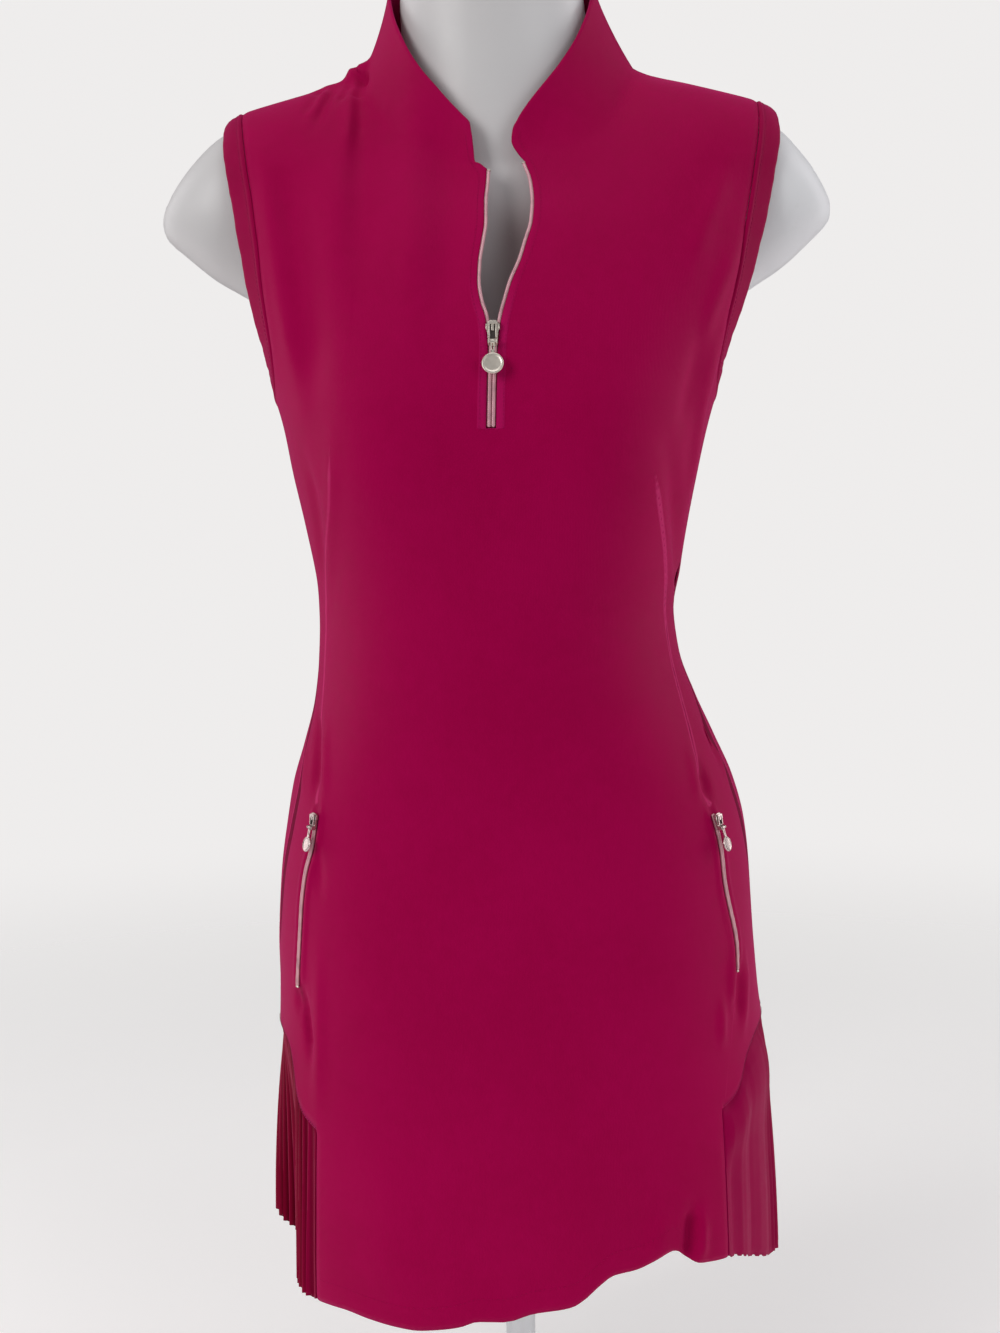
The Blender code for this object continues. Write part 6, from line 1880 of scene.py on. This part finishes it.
for obj in (dress_front, dress_back, flounce):
    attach(obj, "dress")
    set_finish(obj, "dress_knit")
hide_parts("front")
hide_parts("back")
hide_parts("flounce")
for name, (obj, *_) in bands.items():
    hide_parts("armhole_band_" + name)
for obj in pieces:
    if "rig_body" not in obj:
        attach(obj, "dress")
    if "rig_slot" not in obj:
        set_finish(obj, "dress_knit")
for obj, nodes in chains:
    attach(obj, "dress")
    if nodes:
        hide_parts(*nodes)
        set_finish(obj, "zip_chain_silver")
    else:
        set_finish(obj, "dress_knit")
for obj, node, body in hardware:
    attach(obj, body)
    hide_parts(node)
    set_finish(obj, "zip_metal")
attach(form, "dress")
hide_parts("form")
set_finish(form, "form_white")

for name in ("stand_base", "stand_socket", "stand_pole"):
    node = frame["nodes"][name]
    node.data.materials.clear()
    node.data.materials.append(steel_mat)
    for polygon in node.data.polygons:
        polygon.material_index = 0
    bevel = node.modifiers.new("edge", "BEVEL")
    bevel.width = 0.0006
    bevel.segments = 2
    bevel.limit_method = "ANGLE"
    bevel.angle_limit = math.radians(40)
    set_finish(node, "stand_steel")


def surface_of(obj):
    """Area of a piece as it is shown."""
    shown = obj.evaluated_get(bpy.context.evaluated_depsgraph_get())
    mesh = shown.to_mesh()
    total = sum(p.area for p in mesh.polygons)
    count = sum(len(p.vertices) - 2 for p in mesh.polygons)
    shown.to_mesh_clear()
    return total, count


bpy.context.view_layer.update()
everything = pieces + [o for o, _ in chains] + [h[0] for h in hardware] + [form]
for obj in everything:
    area, count = surface_of(obj)
    print(f"{obj.name:28s} area {area:.4f} m2, {count} triangles")

# ----------------------------------------------------------- studio


def stage_material(name, colour, near=None, far=None):
    m = Nodes(name)
    where = m.node("ShaderNodeTexCoord")
    fine = m.noise(where.outputs["Object"], 3.0, 3.0)
    m.link(m.mix(m.step(fine, 0.3, 0.7), tuple(c * 0.985 for c in colour), colour), m.shader.inputs["Base Color"])
    m.shader.inputs["Roughness"].default_value = 0.7
    m.shader.inputs["Specular IOR Level"].default_value = 0.2
    m.shader.inputs["Emission Color"].default_value = (*colour, 1)
    m.shader.inputs["Emission Strength"].default_value = 0.23
    if near:
        split = m.node("ShaderNodeVectorMath")
        split.operation = "LENGTH"
        m.link(where.outputs["Object"], split.inputs[0])
        m.link(m.step(split.outputs["Value"], far, near), m.shader.inputs["Alpha"])
    return m.mat


bpy.ops.mesh.primitive_circle_add(vertices=96, radius=9.0, fill_type="NGON", location=(0, 0, 0))
floor = bpy.context.object
floor.name = "studio_floor"
floor.data.materials.append(stage_material("studio_floor", (0.93, 0.92, 0.915), 0.4, 2.4))
floor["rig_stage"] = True


def softbox(name, at, to, width, height, power, colour):
    light = bpy.data.lights.new(name, "AREA")
    light.shape = "RECTANGLE"
    light.size, light.size_y = width, height
    light.energy = power
    light.color = colour
    obj = bpy.data.objects.new(name, light)
    bpy.context.scene.collection.objects.link(obj)
    obj.location = at
    obj.rotation_euler = (Vector(to) - Vector(at)).to_track_quat("-Z", "Y").to_euler()
    obj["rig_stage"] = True
    return obj


softbox("key", (-2.3, -2.2, 2.0), (0, 0, 0.68), 1.3, 1.8, 45, (1.0, 0.985, 0.97))
softbox("fill", (2.1, -2.3, 1.3), (0, 0, 0.62), 1.5, 2.0, 16, (0.985, 0.99, 1.0))
softbox("edge_left", (-1.7, 0.45, 1.0), (0, 0, 0.6), 0.8, 1.9, 9, (1.0, 0.97, 0.98))
softbox("edge_right", (1.7, 0.35, 1.1), (0, 0, 0.6), 0.8, 1.9, 12, (1.0, 0.97, 0.98))
softbox("overhead", (0.0, -0.3, 2.6), (0, 0, 0.6), 1.6, 1.2, 9, (1.0, 1.0, 1.0))

world = bpy.data.worlds.new("studio")
bpy.context.scene.world = world
world.use_nodes = True
tree = world.node_tree
tree.nodes.clear()
out = tree.nodes.new("ShaderNodeOutputWorld")
mix = tree.nodes.new("ShaderNodeMixShader")
path = tree.nodes.new("ShaderNodeLightPath")
ambient = tree.nodes.new("ShaderNodeBackground")
ambient.inputs["Color"].default_value = (0.98, 0.985, 1.0, 1)
ambient.inputs["Strength"].default_value = 0.20
seen = tree.nodes.new("ShaderNodeBackground")
seen.inputs["Color"].default_value = (0.86, 0.845, 0.84, 1)
seen.inputs["Strength"].default_value = 1.0
tree.links.new(path.outputs["Is Camera Ray"], mix.inputs[0])
tree.links.new(ambient.outputs[0], mix.inputs[1])
tree.links.new(seen.outputs[0], mix.inputs[2])
tree.links.new(mix.outputs[0], out.inputs[0])

bpy.context.scene.view_settings.view_transform = "Standard"
bpy.context.scene.view_settings.look = "None"

# camera where the photo was taken from
DISTANCE, CAMERA_Z, YAW, ROLL, FOCAL = 1.346, 0.765, math.radians(2.0), math.radians(1.1), 1878.0
PITCH, AIM = math.atan((666.5 - 450) / FOCAL), math.atan(8.5 / FOCAL)
at = Vector((math.sin(YAW) * DISTANCE, -math.cos(YAW) * DISTANCE, CAMERA_Z))
ahead = Vector((-math.sin(YAW) * math.cos(PITCH), math.cos(YAW) * math.cos(PITCH), -math.sin(PITCH)))
right = ahead.cross(Vector((0, 0, 1))).normalized()
up = right.cross(ahead)
turn = Matrix.Rotation(AIM, 3, "Z")
ahead, right, up = turn @ ahead, turn @ right, turn @ up
c, s = math.cos(ROLL), math.sin(ROLL)
right, up = c * right - s * up, s * right + c * up
m = Matrix((right, up, -ahead)).transposed().to_4x4()
m.translation = at
lens = bpy.data.cameras.new("camera")
lens.sensor_fit = "VERTICAL"
lens.sensor_height = 36.0
lens.lens = FOCAL / 1333 * 36
lens.clip_start = 0.05
camera = bpy.data.objects.new("camera", lens)
bpy.context.scene.collection.objects.link(camera)
camera.matrix_world = m
bpy.context.scene.camera = camera

low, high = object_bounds()
